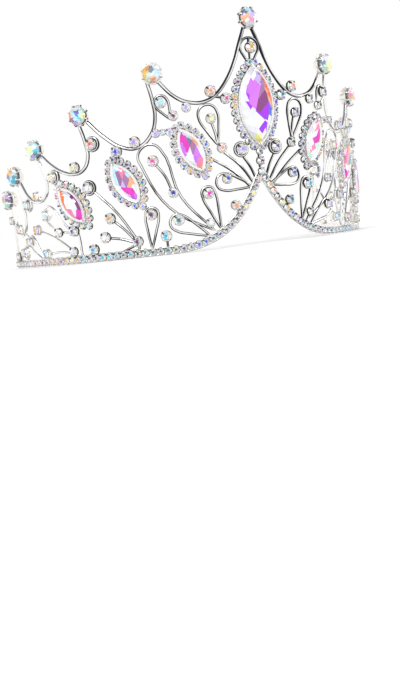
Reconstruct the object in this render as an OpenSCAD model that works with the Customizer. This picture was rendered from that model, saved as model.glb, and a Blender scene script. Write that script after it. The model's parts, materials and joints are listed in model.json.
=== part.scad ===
// Pageant crown: an open-backed wall of soldered wire scrolls that rises to eleven peaks.
// Every peak carries a round stone in claws, seven pointed oval stones stand in haloes, and
// a chain of small stones runs along the base. Z is up, the front faces -Y, and the right
// side as the wearer has it is at -X. Lengths are in millimetres.

/* [Wall] */
// Width of the ring that the wall follows, at its base
ring_w = 150; // [140:1:160]
// Depth of the full ring, front to back
ring_d = 156; // [146:1:166]
// Length of the wall from its front centre to one end, measured along the base
half_arc = 137; // [132:1:142]
// Height of the front peak, from the base to the middle of its stone
peak_h = 86; // [82:1:92]
// Outward lean of the wall, in degrees
lean = 1.6; // [0:0.2:4]

/* [Metal] */
// Thickness of the two wires that draw the outline
outline_wire = 1.5; // [1.3:0.1:1.8]
// Thickness of the scroll wires
scroll_wire = 1.2; // [1.1:0.1:1.4]
// Height of the base band
band_h = 3.4; // [3.2:0.1:3.8]
// Thickness of the base band
band_t = 1.8; // [1.5:0.1:2.2]
// Thickness of the plates that carry the pointed oval stones and their haloes
plate_t = 1.6; // [1.4:0.1:2]
// Height of the small cups, from the middle of the wires to their seats
cup_h = 1.2; // [1:0.1:1.5]
// Width of the metal that a small cup shows round its stone
cup_rim = 0.25; // [0.2:0.05:0.4]
// Depth of the cups at the peaks
tip_cup_depth = 3.4; // [2.6:0.1:4]
// Thickness of a claw at a peak
claw_t = 0.8; // [0.7:0.05:1]
// Height of a claw above its seat
claw_h = 2; // [1.6:0.1:2.4]

/* [Stones] */
// Diameter of the stone at each peak
tip_stone = 7; // [6.4:0.1:7.4]
// Diameter of the stones that sit on the scallops
scallop_stone = 3.6; // [3.2:0.1:3.9]
// Diameter of the stones among the scrolls
accent_stone = 3.3; // [3:0.1:3.4]
// Diameter of the stones of the base chain
chain_stone = 2.5; // [2.3:0.05:2.65]
// Pitch of the base chain
chain_pitch = 3; // [2.9:0.05:3.3]
// Diameter of the small stones in the haloes
halo_stone = 2.4; // [2.2:0.05:2.6]
// Length of the pointed oval stone at the front
front_oval_l = 30; // [28:0.5:31]
// Width of the pointed oval stone at the front
front_oval_w = 14; // [13:0.5:15]
// Length of the pointed oval stones at the sides
side_oval_l = 17.6; // [16.5:0.2:18.5]
// Width of the pointed oval stones at the sides
side_oval_w = 8; // [7.4:0.2:8.4]
// Gap between a stone and the metal that it sits on
seat_gap = 0.12; // [0.1:0.01:0.2]

/* [Hidden] */

// The two sides, as signs along X
RIGHT = -1;
LEFT = 1;

// The pattern is drawn on a grid that covers one half of the wall, unrolled. A step along is
// this share of half_arc, and a step up this share of peak_h.
STEP_A = 1 / 137;
STEP_H = 1 / 86;

// Peaks. Columns: steps along, steps up
PEAKS = [[0, 86], [38.5, 68.5], [69.5, 57], [95, 47], [115, 38.5], [130, 29.5]];

// Stones on the scallops. Columns: steps along, steps up
SCALLOP_STONES = [[17.5, 59.8], [48, 44.1], [74.6, 37.7], [98, 28.7], [118, 16.3]];

// Outline between two peaks, one row a bay and the last row down to the end of the band.
// Each point has steps along and steps up.
BAYS = [
    [[1.5, 83], [4.4, 76], [6.8, 70], [10.8, 63.2], [15.2, 58.5], [19.6, 56.3], [25, 56.3], [30.8, 59], [37, 66]],
    [[40.8, 66], [39.5, 58.5], [39.3, 52], [41.5, 46.2], [47, 42], [53, 42.6], [60, 47.4], [67.3, 55]],
    [[70.6, 54], [68.7, 46.5], [68.4, 40.6], [71.3, 36.3], [76, 35.2], [81.5, 36.6], [87.5, 40.2], [93, 45]],
    [[95.6, 44], [92.4, 37.4], [91.4, 32], [93.7, 27.8], [99, 26.3], [105.5, 28.6], [113, 36.4]],
    [[115.4, 36], [112.6, 27.6], [111.9, 20.4], [115, 14.8], [120.5, 13.8], [125.5, 18.6], [129, 27.4]],
    [[130.6, 27], [131.6, 17], [133, 9], [135, 2.4]]
];

// Pointed oval stones at the sides. Columns: steps along, steps up, lean from upright in degrees
SIDE_OVALS = [[27, 38.5, 23.6], [53.4, 29.2, 30], [78, 23.4, 36.5]];
// Place of the front one on the grid
FRONT_OVAL = [0, 53, 0];

// Rise of the base band in front. Columns: steps along, steps up above its flat run
BAND_RISE = [[0, 26], [2.2, 22.4], [4.8, 18], [8, 13.6], [11.5, 9.7], [15.2, 6.6], [19.8, 3.8], [25, 1.7],
    [30.5, 0.5], [36, 0]];

// Teardrop loops. Columns: steps along and up at the tip, steps along and up at the middle of
// the head, half-width of the head in steps, sideways bow of the loop in steps
TEARS = [
    [16.4, 39.4, 19.2, 51.2, 3.8, 0], [3.6, 22.6, 15.4, 25.3, 3.2, 0], [18.4, 7.4, 22.2, 21.6, 2.6, 0],
    [33.4, 51, 36.4, 57.6, 2.6, 0], [20.5, 6.8, 42.8, 37.6, 4.9, 4.4], [23, 5.4, 35, 11.8, 3.2, 0],
    [46.4, 2.8, 44.9, 16, 2.6, 0], [80.2, 12.4, 92.6, 20.6, 3.5, 1], [101, 2.8, 109, 10.6, 2.6, 0]
];
// The loop in the front peak
FRONT_TEAR = [0, 68.5, 0, 75, 3.8, 0];
// Wires on the middle line, with the columns of STROKES
FRONT_STROKES = [[0, 29.6, 0, 36, 0], [0, 70.6, 0, 78.8, 0]];

// Round seats. Columns: steps along, steps up, radius in steps to the middle of their wire
LOOPS = [[7.5, 37, 2.6], [65.5, 45.6, 2.6], [69.5, 29.1, 2.6], [106.9, 25.9, 2.6], [86.6, 35.2, 2.6],
    [116.4, 6.4, 2.6]];

// Single wires. Columns: steps along and up at the start, the same at the end, sideways bow as
// a share of the length
STROKES = [
    [2.2, 25.4, 7, 34.6, 0.04], [3.3, 23.7, 14.6, 36.8, 0.05], [4.3, 22, 20.2, 35, 0.04],
    [11, 56.6, 16.2, 57.9, 0], [16.5, 40.4, 18.2, 48.4, 0.03], [36.2, 24.8, 41.2, 34.8, 0.06],
    [40.1, 6.4, 40.1, 2.6, 0], [52.4, 7.8, 67.6, 27.4, 0.05], [53, 7, 60.8, 15.2, 0.04],
    [53, 6, 63.4, 8.8, 0.04], [52.9, 5, 60.4, 2.2, 0], [77.4, 2.6, 78.9, 17.6, 0.03],
    [81.8, 5.4, 100, 14.6, 0.05], [82.2, 4.4, 95.8, 5, 0.05], [110.4, 12.2, 115.2, 14.7, 0],
    [12, 16, 9.7, 13.4, 0], [34.4, 46.2, 41.3, 46.2, 0], [54.6, 43.6, 56.6, 36.5, 0],
    [69.5, 29.1, 74.4, 26.2, 0], [51.5, 6.3, 51.5, 1.7, 0], [70.6, 5, 70.6, 1.7, 0],
    [80.7, 5, 80.7, 1.7, 0], [116.4, 6.4, 116.4, 1.7, 0], [126, 5, 126, 1.7, 0]
];

// Stones among the scrolls. Columns: steps along, steps up, share of accent_stone
ACCENTS = [
    [7.5, 37, 1.1], [11.9, 56.6, 1.05], [18.4, 49.6, 1], [15.2, 38.2, 1], [14.4, 26.4, 1], [22.2, 21.6, 1.1],
    [12, 16, 1], [27.2, 54.7, 0.95], [32.4, 52.1, 1], [36.4, 57.6, 1.1], [34.4, 46.2, 0.8], [37, 46.4, 0.65],
    [39.7, 46.3, 0.85], [41.9, 36.1, 1.1], [35.5, 23.3, 1], [34.6, 12.8, 1.1], [22.6, 10.4, 0.9],
    [40.1, 7.2, 1.1], [44.9, 16, 1.1], [51.5, 6.3, 1.1], [55.6, 41.4, 1.1], [65.5, 45.6, 1.1],
    [61.7, 16.3, 1.1], [64.8, 9.2, 1.1], [70.6, 5, 1.1], [69.5, 29.1, 1.1], [86.6, 35.2, 1.1],
    [93.7, 20.6, 1.2], [87.6, 13.2, 1], [79.2, 13.2, 1.15], [80.7, 5, 1], [96.8, 5.1, 1.1],
    [101.3, 15.2, 1.1], [106.9, 25.9, 1.1], [109, 10.6, 1.1], [116.4, 6.4, 1.1], [126, 5, 1],
    [129.4, 20.6, 1]
];
// The three on the middle line
FRONT_ACCENTS = [[0, 75, 1.1], [0, 32, 0.9], [0, 28, 0.76]];

// Cuts, from the seat to the table. Columns of the round ones: diameter and height, both as
// shares of the stone's diameter. Columns of the oval one: inset and height, shares of its width
LARGE_CUT = [[0.9, 0], [1, 0.14], [0.86, 0.27], [0.55, 0.37]];
SMALL_CUT = [[1, 0], [0.56, 0.34]];
OVAL_CUT = [[0.04, 0], [0, 0.08], [0.2, 0.24]];

// Longest straight stretch of the band's flat run
BAND_STRETCH = 8;

ring_r = (ring_w + ring_d) / 4;
tip_seat = outline_wire / 2 + 0.25;
plate_edge = halo_stone + 2 * cup_rim + 0.3;

// Furthest points of the wall towards the front and the back, which the origin lies between
front_reach = ring_d / 2 + max(
    peak_h * tan(lean) + tip_seat + max(claw_h, seat_gap + LARGE_CUT[3][1] * tip_stone),
    FRONT_OVAL[1] * STEP_H * peak_h * tan(lean) + plate_t / 2 + seat_gap + OVAL_CUT[2][1] * front_oval_w);
end_angle = half_arc / ring_r * 180 / PI;
back_reach = -(ring_d / 2 + band_t / 2) * cos(end_angle);
centre_y = (front_reach - back_reach) / 2;

// A place on the unrolled wall: a millimetres along, h up and out in front of its middle surface
function wall(a, h, out = 0) =
    let (turn = a / ring_r * 180 / PI, grow = h * tan(lean) + out)
    [(ring_w / 2 + grow) * sin(turn), centre_y - (ring_d / 2 + grow) * cos(turn), h];
// The level direction that points out of the wall there
function outward(a) = let (turn = a / ring_r * 180 / PI) [sin(turn), -cos(turn), 0];

// Grid steps as millimetres along and up
function along(steps) = steps * STEP_A * half_arc;
function up(steps) = steps * STEP_H * peak_h;
function grid(p) = [along(p[0]), up(p[1])];

// Whether a round seat, and not a cup, carries a stone
function in_ring(p) = len([for (l = LOOPS) if (l[0] == p[0] && l[1] == p[1]) l]) > 0;

function unit(v) = v / norm(v);

// Smooth curve through points, with n stretches between two of them
function blend(a, b, c, d, t) =
    ((2 * b) + (c - a) * t + (2 * a - 5 * b + 4 * c - d) * t * t + (3 * b - a - 3 * c + d) * t * t * t) / 2;
function smooth(p, n) = let (m = len(p) - 1) concat(
    [for (i = [0:m - 1]) for (k = [0:n - 1]) blend(p[max(i - 1, 0)], p[i], p[i + 1], p[min(i + 2, m)], k / n)],
    [p[m]]);

// A teardrop's points, from its tip round its head
function tear(t) =
    let (tip = [t[0], t[1]], head = [t[2], t[3]], r = t[4], d = unit(head - tip), s = [-d[1], d[0]],
        waist = (tip + head) / 2 - t[5] * s)
    [tip, waist + 0.62 * r * s, head + r * s, head + 0.72 * r * (d + s), head + r * d,
        head + 0.72 * r * (d - s), head - r * s, waist - 0.62 * r * s];
function stroke(s) =
    let (p = [s[0], s[1]], q = [s[2], s[3]], m = (p + q) / 2 + s[4] * [p[1] - q[1], q[0] - p[0]])
    s[4] == 0 ? [p, q] : [p, m, q];

// Half the wall's band path in millimetres: the rise in front, then the flat run to the end
band_path =
    let (rise = [for (p = BAND_RISE) [along(p[0]), band_h / 2 + up(p[1])]], flat_a = rise[len(rise) - 1][0],
        n = ceil((half_arc - flat_a) / BAND_STRETCH))
    concat([for (p = smooth(rise, 2)) [p[0], max(p[1], band_h / 2)]],
        [for (k = [1:n]) [flat_a + (half_arc - flat_a) * k / n, band_h / 2]]);
function run(p, i) = i == 0 ? 0 : run(p, i - 1) + norm(p[i] - p[i - 1]);
band_runs = [for (i = [0:len(band_path) - 1]) run(band_path, i)];
function on_band(d) =
    let (i = max([for (k = [0:len(band_runs) - 2]) if (band_runs[k] <= d) k]),
        t = (d - band_runs[i]) / (band_runs[i + 1] - band_runs[i]))
    band_path[i] + t * (band_path[i + 1] - band_path[i]);

// A bar swept along points of the unrolled wall. Its section has a corner at each of the angles,
// at half the width across the wall's face and half the depth out of it.
module bar(points, width, depth, angles, closed = false) {
    m = len(points);
    n = len(angles);
    place = [for (p = points) wall(p[0], p[1])];
    verts = [for (i = [0:m - 1]) let (
            before = closed ? (i + m - 1) % m : max(i - 1, 0),
            after = closed ? (i + 1) % m : min(i + 1, m - 1),
            t = unit(place[after] - place[before]),
            side = unit(cross(t, outward(points[i][0]))),
            front = cross(side, t))
        for (a = angles) place[i] + width / 2 * sin(a) * side + depth / 2 * cos(a) * front];
    last = closed ? m - 1 : m - 2;
    sides = [for (i = [0:last]) for (j = [0:n - 1])
        [i * n + j, ((i + 1) % m) * n + j, ((i + 1) % m) * n + (j + 1) % n, i * n + (j + 1) % n]];
    ends = closed ? [] : [[for (j = [0:n - 1]) j], [for (j = [n - 1:-1:0]) (m - 1) * n + j]];
    polyhedron(verts, concat(sides, ends), convexity = 8);
}
// Corner angles of the sections: a square on edge, and a half-round's three with a flat back
SQUARE_ON_EDGE = [0, 90, 180, 270];
HALF_ROUND = [0, 120, 240];
module outline(points) bar(points, outline_wire, outline_wire, SQUARE_ON_EDGE);
module scroll(points, closed = false) bar(points, scroll_wire * 1.15, scroll_wire, HALF_ROUND, closed);
module strip(points, width, depth) bar(points, width * sqrt(2), depth * sqrt(2), [45, 135, 225, 315]);

// Stands its children on the wall at a place in millimetres, with their Z out of it
module stood(a, h, turn = 0, out = 0)
    translate(wall(a, h, out)) rotate([90, 0, a / ring_r * 180 / PI]) rotate(-turn) children();
module mirrored(side) mirror([side == RIGHT ? 1 : 0, 0, 0]) children();

// Pointed oval: two arcs that meet at its ends, grown all round by g
function oval(l, w, g, n) =
    let (r = (l * l + w * w) / (4 * w), c = r - w / 2, e = acos(c / (r + g)))
    concat([for (k = [0:n - 1]) let (t = -e + 2 * e * k / n) [(r + g) * cos(t) - c, (r + g) * sin(t)]],
        [for (k = [0:n - 1]) let (t = -e + 2 * e * k / n) [c - (r + g) * cos(t), -(r + g) * sin(t)]]);

// Closed form through level rings of as many points each. Columns of a ring: outline, height
module facets(rings) {
    n = len(rings[0][0]);
    m = len(rings);
    verts = [for (ring = rings) for (p = ring[0]) [p[0], p[1], ring[1]]];
    sides = [for (i = [0:m - 2]) for (j = [0:n - 1])
        [i * n + j, (i + 1) * n + j, (i + 1) * n + (j + 1) % n, i * n + (j + 1) % n]];
    polyhedron(verts, concat(sides, [[for (j = [0:n - 1]) j], [for (j = [n - 1:-1:0]) (m - 1) * n + j]]));
}
function ngon(d, n) = [for (k = [0:n - 1]) d / 2 * [cos(k * 360 / n), sin(k * 360 / n)]];

// Cut stones, on the seat below them
module round_cut(d, cut) facets([for (c = cut) [ngon(c[0] * d, 8), c[1] * d]]);
module oval_cut(l, w) facets([for (c = OVAL_CUT) [oval(l, w, -c[0] * w, 8), c[1] * w]]);

// Settings
module cup(d) translate([0, 0, -0.4 * scroll_wire])
    linear_extrude(cup_h + 0.4 * scroll_wire) circle(d = d + 2 * cup_rim, $fn = 6);
module ring_seat(r) translate([0, 0, -scroll_wire / 2])
    linear_extrude(scroll_wire / 2 + cup_h) circle(r, $fn = 8);
module tip_cup() {
    rim = tip_stone + 2 * (seat_gap + claw_t) + 0.3;
    translate([0, 0, tip_seat]) hull() {
        translate([0, 0, -tip_cup_depth]) linear_extrude(0.1) circle(d = 0.5 * rim, $fn = 8);
        translate([0, 0, -0.1]) linear_extrude(0.1) circle(d = rim, $fn = 8);
    }
    for (k = [0:3]) rotate(45 + 90 * k)
        translate([tip_stone / 2 + seat_gap, -claw_t / 2, tip_seat - 0.05]) cube([claw_t, claw_t, claw_h]);
}
module halo_plate(l, w) translate([0, 0, -plate_t / 2]) linear_extrude(plate_t)
    polygon(oval(l, w, plate_edge, 6));

module half_metal() {
    for (bay = BAYS) outline([for (p = bay) grid(p)]);
    for (t = TEARS) scroll([for (p = tear(t)) grid(p)], closed = true);
    for (l = LOOPS) stood(along(l[0]), up(l[1])) ring_seat(along(l[2]) + scroll_wire / 2);
    for (s = STROKES) scroll([for (p = stroke(s)) grid(p)]);
    for (p = SCALLOP_STONES) stood(along(p[0]), up(p[1])) cup(scallop_stone);
    for (p = ACCENTS) if (!in_ring(p)) stood(along(p[0]), up(p[1])) cup(p[2] * accent_stone);
    for (i = [1:len(PEAKS) - 1]) stood(along(PEAKS[i][0]), up(PEAKS[i][1])) tip_cup();
    for (o = SIDE_OVALS) stood(along(o[0]), up(o[1]), o[2]) halo_plate(side_oval_l, side_oval_w);
    strip(band_path, band_h, band_t);
}

module frame() color("silver") {
    mirrored(RIGHT) half_metal();
    mirrored(LEFT) half_metal();
    stood(0, up(PEAKS[0][1])) tip_cup();
    stood(0, up(FRONT_OVAL[1])) halo_plate(front_oval_l, front_oval_w);
    scroll([for (p = tear(FRONT_TEAR)) grid(p)], closed = true);
    for (s = FRONT_STROKES) scroll([for (p = stroke(s)) grid(p)]);
    for (p = FRONT_ACCENTS) stood(0, up(p[1])) cup(p[2] * accent_stone);
}

module tip_stone(side, i) color("lightcyan") mirrored(side)
    stood(along(PEAKS[i][0]), up(PEAKS[i][1]), 0, tip_seat + seat_gap) round_cut(tip_stone, LARGE_CUT);
module front_oval_stone() color("orchid")
    stood(0, up(FRONT_OVAL[1]), 0, plate_t / 2 + seat_gap) oval_cut(front_oval_l, front_oval_w);
module oval_stone(side, i) color("orchid") mirrored(side) let (o = SIDE_OVALS[i - 1])
    stood(along(o[0]), up(o[1]), o[2], plate_t / 2 + seat_gap) oval_cut(side_oval_l, side_oval_w);
module scallop_stone(side, i) color("lavender") mirrored(side) let (p = SCALLOP_STONES[i - 1])
    stood(along(p[0]), up(p[1]), 0, cup_h + seat_gap) round_cut(scallop_stone, SMALL_CUT);
module accent_stones(rows) color("plum")
    for (p = rows) stood(along(p[0]), up(p[1]), 0, cup_h + seat_gap) round_cut(p[2] * accent_stone, SMALL_CUT);
module chain_stones(side) color("lightblue") mirrored(side)
    for (d = [chain_pitch:chain_pitch:band_runs[len(band_runs) - 1] - chain_pitch]) let (p = on_band(d))
        stood(p[0], p[1], 0, band_t / 2 + seat_gap) round_cut(chain_stone, SMALL_CUT);

frame();
tip_stone(LEFT, 0);  // front_tip_stone
front_oval_stone();
for (i = [1:5]) {
    tip_stone(RIGHT, i);
    tip_stone(LEFT, i);
    scallop_stone(RIGHT, i);
    scallop_stone(LEFT, i);
}
for (i = [1:3]) {
    oval_stone(RIGHT, i);
    oval_stone(LEFT, i);
}
accent_stones(FRONT_ACCENTS);  // front_accent_stones
mirrored(RIGHT) accent_stones(ACCENTS);  // right_accent_stones
mirrored(LEFT) accent_stones(ACCENTS);  // left_accent_stones
chain_stones(RIGHT);  // right_chain_stones
chain_stones(LEFT);  // left_chain_stones
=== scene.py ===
"""Dresses the pageant crown: silver wirework, cut crystals in claws, haloes and a base chain.

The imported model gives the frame, and every piece here stands on the same unrolled wall as the
solids do. Sizes are in millimetres until a mesh is placed, and MM turns them into metres.
"""

from __future__ import annotations

import json
import logging
import math
import random
from collections.abc import Callable
from dataclasses import dataclass, field, replace
from enum import Enum

import bpy
from mathutils import Matrix, Vector


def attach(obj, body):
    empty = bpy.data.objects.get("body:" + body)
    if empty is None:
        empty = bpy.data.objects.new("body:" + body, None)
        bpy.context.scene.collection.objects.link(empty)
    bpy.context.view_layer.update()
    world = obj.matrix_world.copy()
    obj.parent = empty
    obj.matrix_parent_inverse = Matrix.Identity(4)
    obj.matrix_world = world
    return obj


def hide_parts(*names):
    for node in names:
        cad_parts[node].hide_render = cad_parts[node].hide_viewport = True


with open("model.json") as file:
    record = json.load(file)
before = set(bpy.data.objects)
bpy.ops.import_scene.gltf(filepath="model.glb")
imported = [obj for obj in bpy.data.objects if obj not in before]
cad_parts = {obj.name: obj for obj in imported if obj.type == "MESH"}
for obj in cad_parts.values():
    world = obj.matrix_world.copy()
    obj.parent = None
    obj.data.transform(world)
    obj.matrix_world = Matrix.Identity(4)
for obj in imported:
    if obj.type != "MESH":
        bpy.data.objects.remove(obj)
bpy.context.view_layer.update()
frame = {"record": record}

MM = 0.001
IMAGE_HEIGHT = 697
FACET_COLOURS = "facet_colours"
# Name of the painted shade that the metal pieces carry, one number a corner
PAINTED_SHADE_LAYER = "painted_shade_layer"
LOG = logging.getLogger("crown")
# Clearance between a stone and its seat
STONE_GAP = 0.12
# A face this near to a piece's highest point, or with a normal this upright, belongs to its level top
TOP_DEPTH = 0.0001
TOP_NORMAL = 0.9
# A facet with a normal more upright than this doesn't slope
FLAT_NORMAL = 0.98
# Steps between two points of a wire, and roundness of its section
WIRE_STEPS = 5
WIRE_ROUNDNESS = 4
# Range that holds the middle of a noise
NOISE_LOW = 0.3
NOISE_HIGH = 0.7

Point = tuple[float, float]
Row = tuple[float, ...]
Colour = tuple[float, float, float]
Value = float | tuple[float, ...] | bpy.types.NodeSocket


class Tint(Enum):
    """Colours of the crystals' coating and of the painted glints on them, as they show on a screen."""

    PEARL = (0.95, 0.96, 0.98)
    ICE = (0.74, 0.93, 0.99)
    MINT = (0.80, 0.96, 0.88)
    LEMON = (0.98, 0.96, 0.66)
    GOLD = (0.93, 0.74, 0.30)
    PEACH = (0.99, 0.72, 0.56)
    ORANGE = (0.96, 0.45, 0.26)
    ROSE = (0.93, 0.55, 0.70)
    MAGENTA = (0.90, 0.24, 0.74)
    LILAC = (0.80, 0.72, 0.97)
    ORCHID = (0.84, 0.50, 0.98)
    VIOLET = (0.66, 0.24, 0.96)
    MAUVE = (0.64, 0.44, 0.64)
    PLUM = (0.50, 0.20, 0.46)
    BLUE = (0.28, 0.44, 0.88)
    INDIGO = (0.26, 0.18, 0.66)
    CYAN = (0.30, 0.82, 0.92)
    TEAL = (0.24, 0.58, 0.62)
    SLATE = (0.42, 0.46, 0.58)
    SMOKE = (0.24, 0.25, 0.29)

    @property
    def linear(self) -> Colour:
        """The colour as linear light."""
        red, green, blue = (((v + 0.055) / 1.055) ** 2.4 for v in self.value)
        return red, green, blue


SmallStone = tuple[float, float, float, Tint]
# Flashes of colour on a large stone, the coating's colours with painted highlights and painted reflections of
# the lower facets among them: their places by tint, as shares of its half-width and half-length
Flashes = dict[Tint, list[Point]]


class Side(Enum):
    """The two sides as the wearer has them, as signs along X."""

    RIGHT = -1
    LEFT = 1

    @property
    def word(self) -> str:
        """The side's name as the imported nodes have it."""
        return self.name.lower()


@dataclass(frozen=True)
class Wall:
    """The curved wall that carries everything, unrolled into lengths along and up.

    A grid step along is the half arc over 137, and a step up the peak height over 86.
    """

    ring_w: float = 150.0
    ring_d: float = 156.0
    half_arc: float = 137.0
    peak_h: float = 86.0
    lean: float = 1.6
    steps_along: float = 137.0
    steps_up: float = 86.0
    centre_y: float = frame["record"]["mounts"][0]["pos_m"][1] / MM

    @property
    def mean_radius(self) -> float:
        """Radius that turns a length along the wall into an angle."""
        return (self.ring_w + self.ring_d) / 4

    def grid(self, along: float, up: float) -> Point:
        """Grid steps as millimetres along and up."""
        return along * self.half_arc / self.steps_along, up * self.peak_h / self.steps_up

    def angle(self, along: float) -> float:
        """Angle round the ring, from its front, in radians."""
        return along / self.mean_radius

    def point(self, along: float, up: float, out: float = 0.0) -> Vector:
        """A place on the wall in millimetres.

        Args:
            along: Length from the front centre, towards the wearer's left.
            up: Height above the base.
            out: Distance in front of the wall's middle surface.

        Returns:
            The place in the frame of the crown, in millimetres.
        """
        turn = self.angle(along)
        grow = up * math.tan(math.radians(self.lean)) + out
        x = (self.ring_w / 2 + grow) * math.sin(turn)
        y = self.centre_y - (self.ring_d / 2 + grow) * math.cos(turn)
        return Vector((x, y, up))

    @staticmethod
    def axes(turn: float) -> tuple[Vector, Vector]:
        """Directions towards the wearer's left and out of the wall, at an angle round the ring."""
        across = Vector((math.cos(turn), math.sin(turn), 0))
        return across, Vector((math.sin(turn), -math.cos(turn), 0))

    def axes_at(self, spot: Vector) -> tuple[Vector, Vector]:
        """The same two directions at a place in millimetres, on or near the wall."""
        return self.axes(math.atan2(spot.x / self.ring_w, (self.centre_y - spot.y) / self.ring_d))


WALL = Wall()

# Peaks. Columns: steps along, steps up
PEAKS: list[Point] = [(0, 86), (38.5, 68.5), (69.5, 57), (95, 47), (115, 38.5), (130, 29.5)]
# Share of the wall's own turn by which the peak stones turn back to face the front
FORWARD_TURN = 0.16
# Stones on the scallops. Columns: steps along, steps up, tint
SCALLOP_STONES: list[tuple[float, float, Tint]] = [
    (17.5, 59.8, Tint.PEACH), (48, 44.1, Tint.LILAC), (74.6, 37.7, Tint.LEMON), (98, 28.7, Tint.GOLD),
    (118, 16.3, Tint.MAGENTA),
]
# Outline between two peaks, a row a bay. Each point has steps along and steps up
BAYS: list[list[Point]] = [
    [(1.5, 83), (4.4, 76), (6.8, 70), (10.8, 63.2), (15.2, 58.5), (19.6, 56.3), (25, 56.3), (30.8, 59),
     (37, 66)],
    [(40.8, 66), (39.5, 58.5), (39.3, 52), (41.5, 46.2), (47, 42), (53, 42.6), (60, 47.4), (67.3, 55)],
    [(70.6, 54), (68.7, 46.5), (68.4, 40.6), (71.3, 36.3), (76, 35.2), (81.5, 36.6), (87.5, 40.2), (93, 45)],
    [(95.6, 44), (92.4, 37.4), (91.4, 32), (93.7, 27.8), (99, 26.3), (105.5, 28.6), (113, 36.4)],
    [(115.4, 36), (112.6, 27.6), (111.9, 20.4), (115, 14.8), (120.5, 13.8), (125.5, 18.6), (129, 27.4)],
    [(130.6, 27), (131.6, 17), (133, 9), (135, 2.4)],
]
# Rise of the base band in front. Columns: steps along, steps up above its flat run
BAND_RISE: list[Point] = [
    (0, 26), (2.2, 22.4), (4.8, 18), (8, 13.6), (11.5, 9.7), (15.2, 6.6), (19.8, 3.8), (25, 1.7),
    (30.5, 0.5), (36, 0),
]
# Teardrop loops. Columns: steps along and up at the tip, the same at the middle of the round
# end, half-width of that end, sideways bow
TEARS: list[Row] = [
    (16.4, 39.4, 19.2, 51.2, 3.8, 0), (3.6, 22.6, 15.4, 25.3, 3.2, 0), (18.4, 7.4, 22.2, 21.6, 2.6, 0),
    (33.4, 51, 36.4, 57.6, 2.6, 0), (20.5, 6.8, 42.8, 37.6, 4.9, 4.4), (23, 5.4, 35, 11.8, 3.2, 0),
    (46.4, 2.8, 44.9, 16, 2.6, 0), (80.2, 12.4, 92.6, 20.6, 3.5, 1), (101, 2.8, 109, 10.6, 2.6, 0),
]
FRONT_TEAR: Row = (0, 68.5, 0, 75, 3.8, 0)
# Round loops. Columns: steps along, steps up, radius in steps
LOOPS: list[Row] = [
    (7.5, 37, 2.6), (65.5, 45.6, 2.6), (69.5, 29.1, 2.6), (106.9, 25.9, 2.6), (86.6, 35.2, 2.6),
    (116.4, 6.4, 2.6),
]
# Single wires. Columns: steps along and up at the start, the same at the end, bow as a share
STROKES: list[Row] = [
    (2.2, 25.4, 7, 34.6, 0.04), (3.3, 23.7, 14.6, 36.8, 0.05), (4.3, 22, 20.2, 35, 0.04),
    (11, 56.6, 16.2, 57.9, 0), (16.5, 40.4, 18.2, 48.4, 0.03), (36.2, 24.8, 41.2, 34.8, 0.06),
    (40.1, 6.4, 40.1, 2.6, 0), (52.4, 7.8, 67.6, 27.4, 0.05), (53, 7, 60.8, 15.2, 0.04),
    (53, 6, 63.4, 8.8, 0.04), (52.9, 5, 60.4, 2.2, 0), (77.4, 2.6, 78.9, 17.6, 0.03),
    (81.8, 5.4, 100, 14.6, 0.05), (82.2, 4.4, 95.8, 5, 0.05), (110.4, 12.2, 115.2, 14.7, 0),
    (12, 16, 9.7, 13.4, 0), (34.4, 46.2, 41.3, 46.2, 0), (54.6, 43.6, 56.6, 36.5, 0),
    (69.5, 29.1, 74.4, 26.2, 0), (51.5, 6.3, 51.5, 1.7, 0), (70.6, 5, 70.6, 1.7, 0),
    (80.7, 5, 80.7, 1.7, 0), (116.4, 6.4, 116.4, 1.7, 0), (126, 5, 126, 1.7, 0),
]
FRONT_STROKES: list[Row] = [(0, 29.6, 0, 36, 0), (0, 70.6, 0, 78.8, 0)]
# Stones among the scrolls. Columns: steps along, steps up, share of the accent stone, tint
ACCENTS: list[SmallStone] = [
    (7.5, 37, 1.1, Tint.LILAC), (11.9, 56.6, 1.05, Tint.ROSE), (18.4, 49.6, 1, Tint.LEMON),
    (15.2, 38.2, 1, Tint.PEACH), (14.4, 26.4, 1, Tint.BLUE), (22.2, 21.6, 1.1, Tint.MAGENTA),
    (12, 16, 1, Tint.PEACH), (27.2, 54.7, 0.95, Tint.LILAC), (32.4, 52.1, 1, Tint.PLUM),
    (36.4, 57.6, 1.1, Tint.ICE), (34.4, 46.2, 0.8, Tint.LILAC), (37, 46.4, 0.65, Tint.ICE),
    (39.7, 46.3, 0.85, Tint.LILAC), (41.9, 36.1, 1.1, Tint.ROSE), (35.5, 23.3, 1, Tint.INDIGO),
    (34.6, 12.8, 1.1, Tint.TEAL), (22.6, 10.4, 0.9, Tint.PEARL), (40.1, 7.2, 1.1, Tint.CYAN),
    (44.9, 16, 1.1, Tint.PLUM), (51.5, 6.3, 1.1, Tint.PLUM), (55.6, 41.4, 1.1, Tint.BLUE),
    (65.5, 45.6, 1.1, Tint.ORANGE), (61.7, 16.3, 1.1, Tint.GOLD), (64.8, 9.2, 1.1, Tint.PEARL),
    (70.6, 5, 1.1, Tint.CYAN), (69.5, 29.1, 1.1, Tint.PEARL), (86.6, 35.2, 1.1, Tint.LEMON),
    (93.7, 20.6, 1.2, Tint.MINT), (87.6, 13.2, 1, Tint.PEARL), (79.2, 13.2, 1.15, Tint.SLATE),
    (80.7, 5, 1, Tint.PEARL), (96.8, 5.1, 1.1, Tint.CYAN), (101.3, 15.2, 1.1, Tint.GOLD),
    (106.9, 25.9, 1.1, Tint.MINT), (109, 10.6, 1.1, Tint.GOLD), (116.4, 6.4, 1.1, Tint.LEMON),
    (126, 5, 1, Tint.ROSE), (129.4, 20.6, 1, Tint.ROSE),
]
FRONT_ACCENTS: list[SmallStone] = [
    (0, 75, 1.1, Tint.GOLD), (0, 32, 0.9, Tint.PLUM), (0, 28, 0.76, Tint.PEARL),
]
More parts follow.
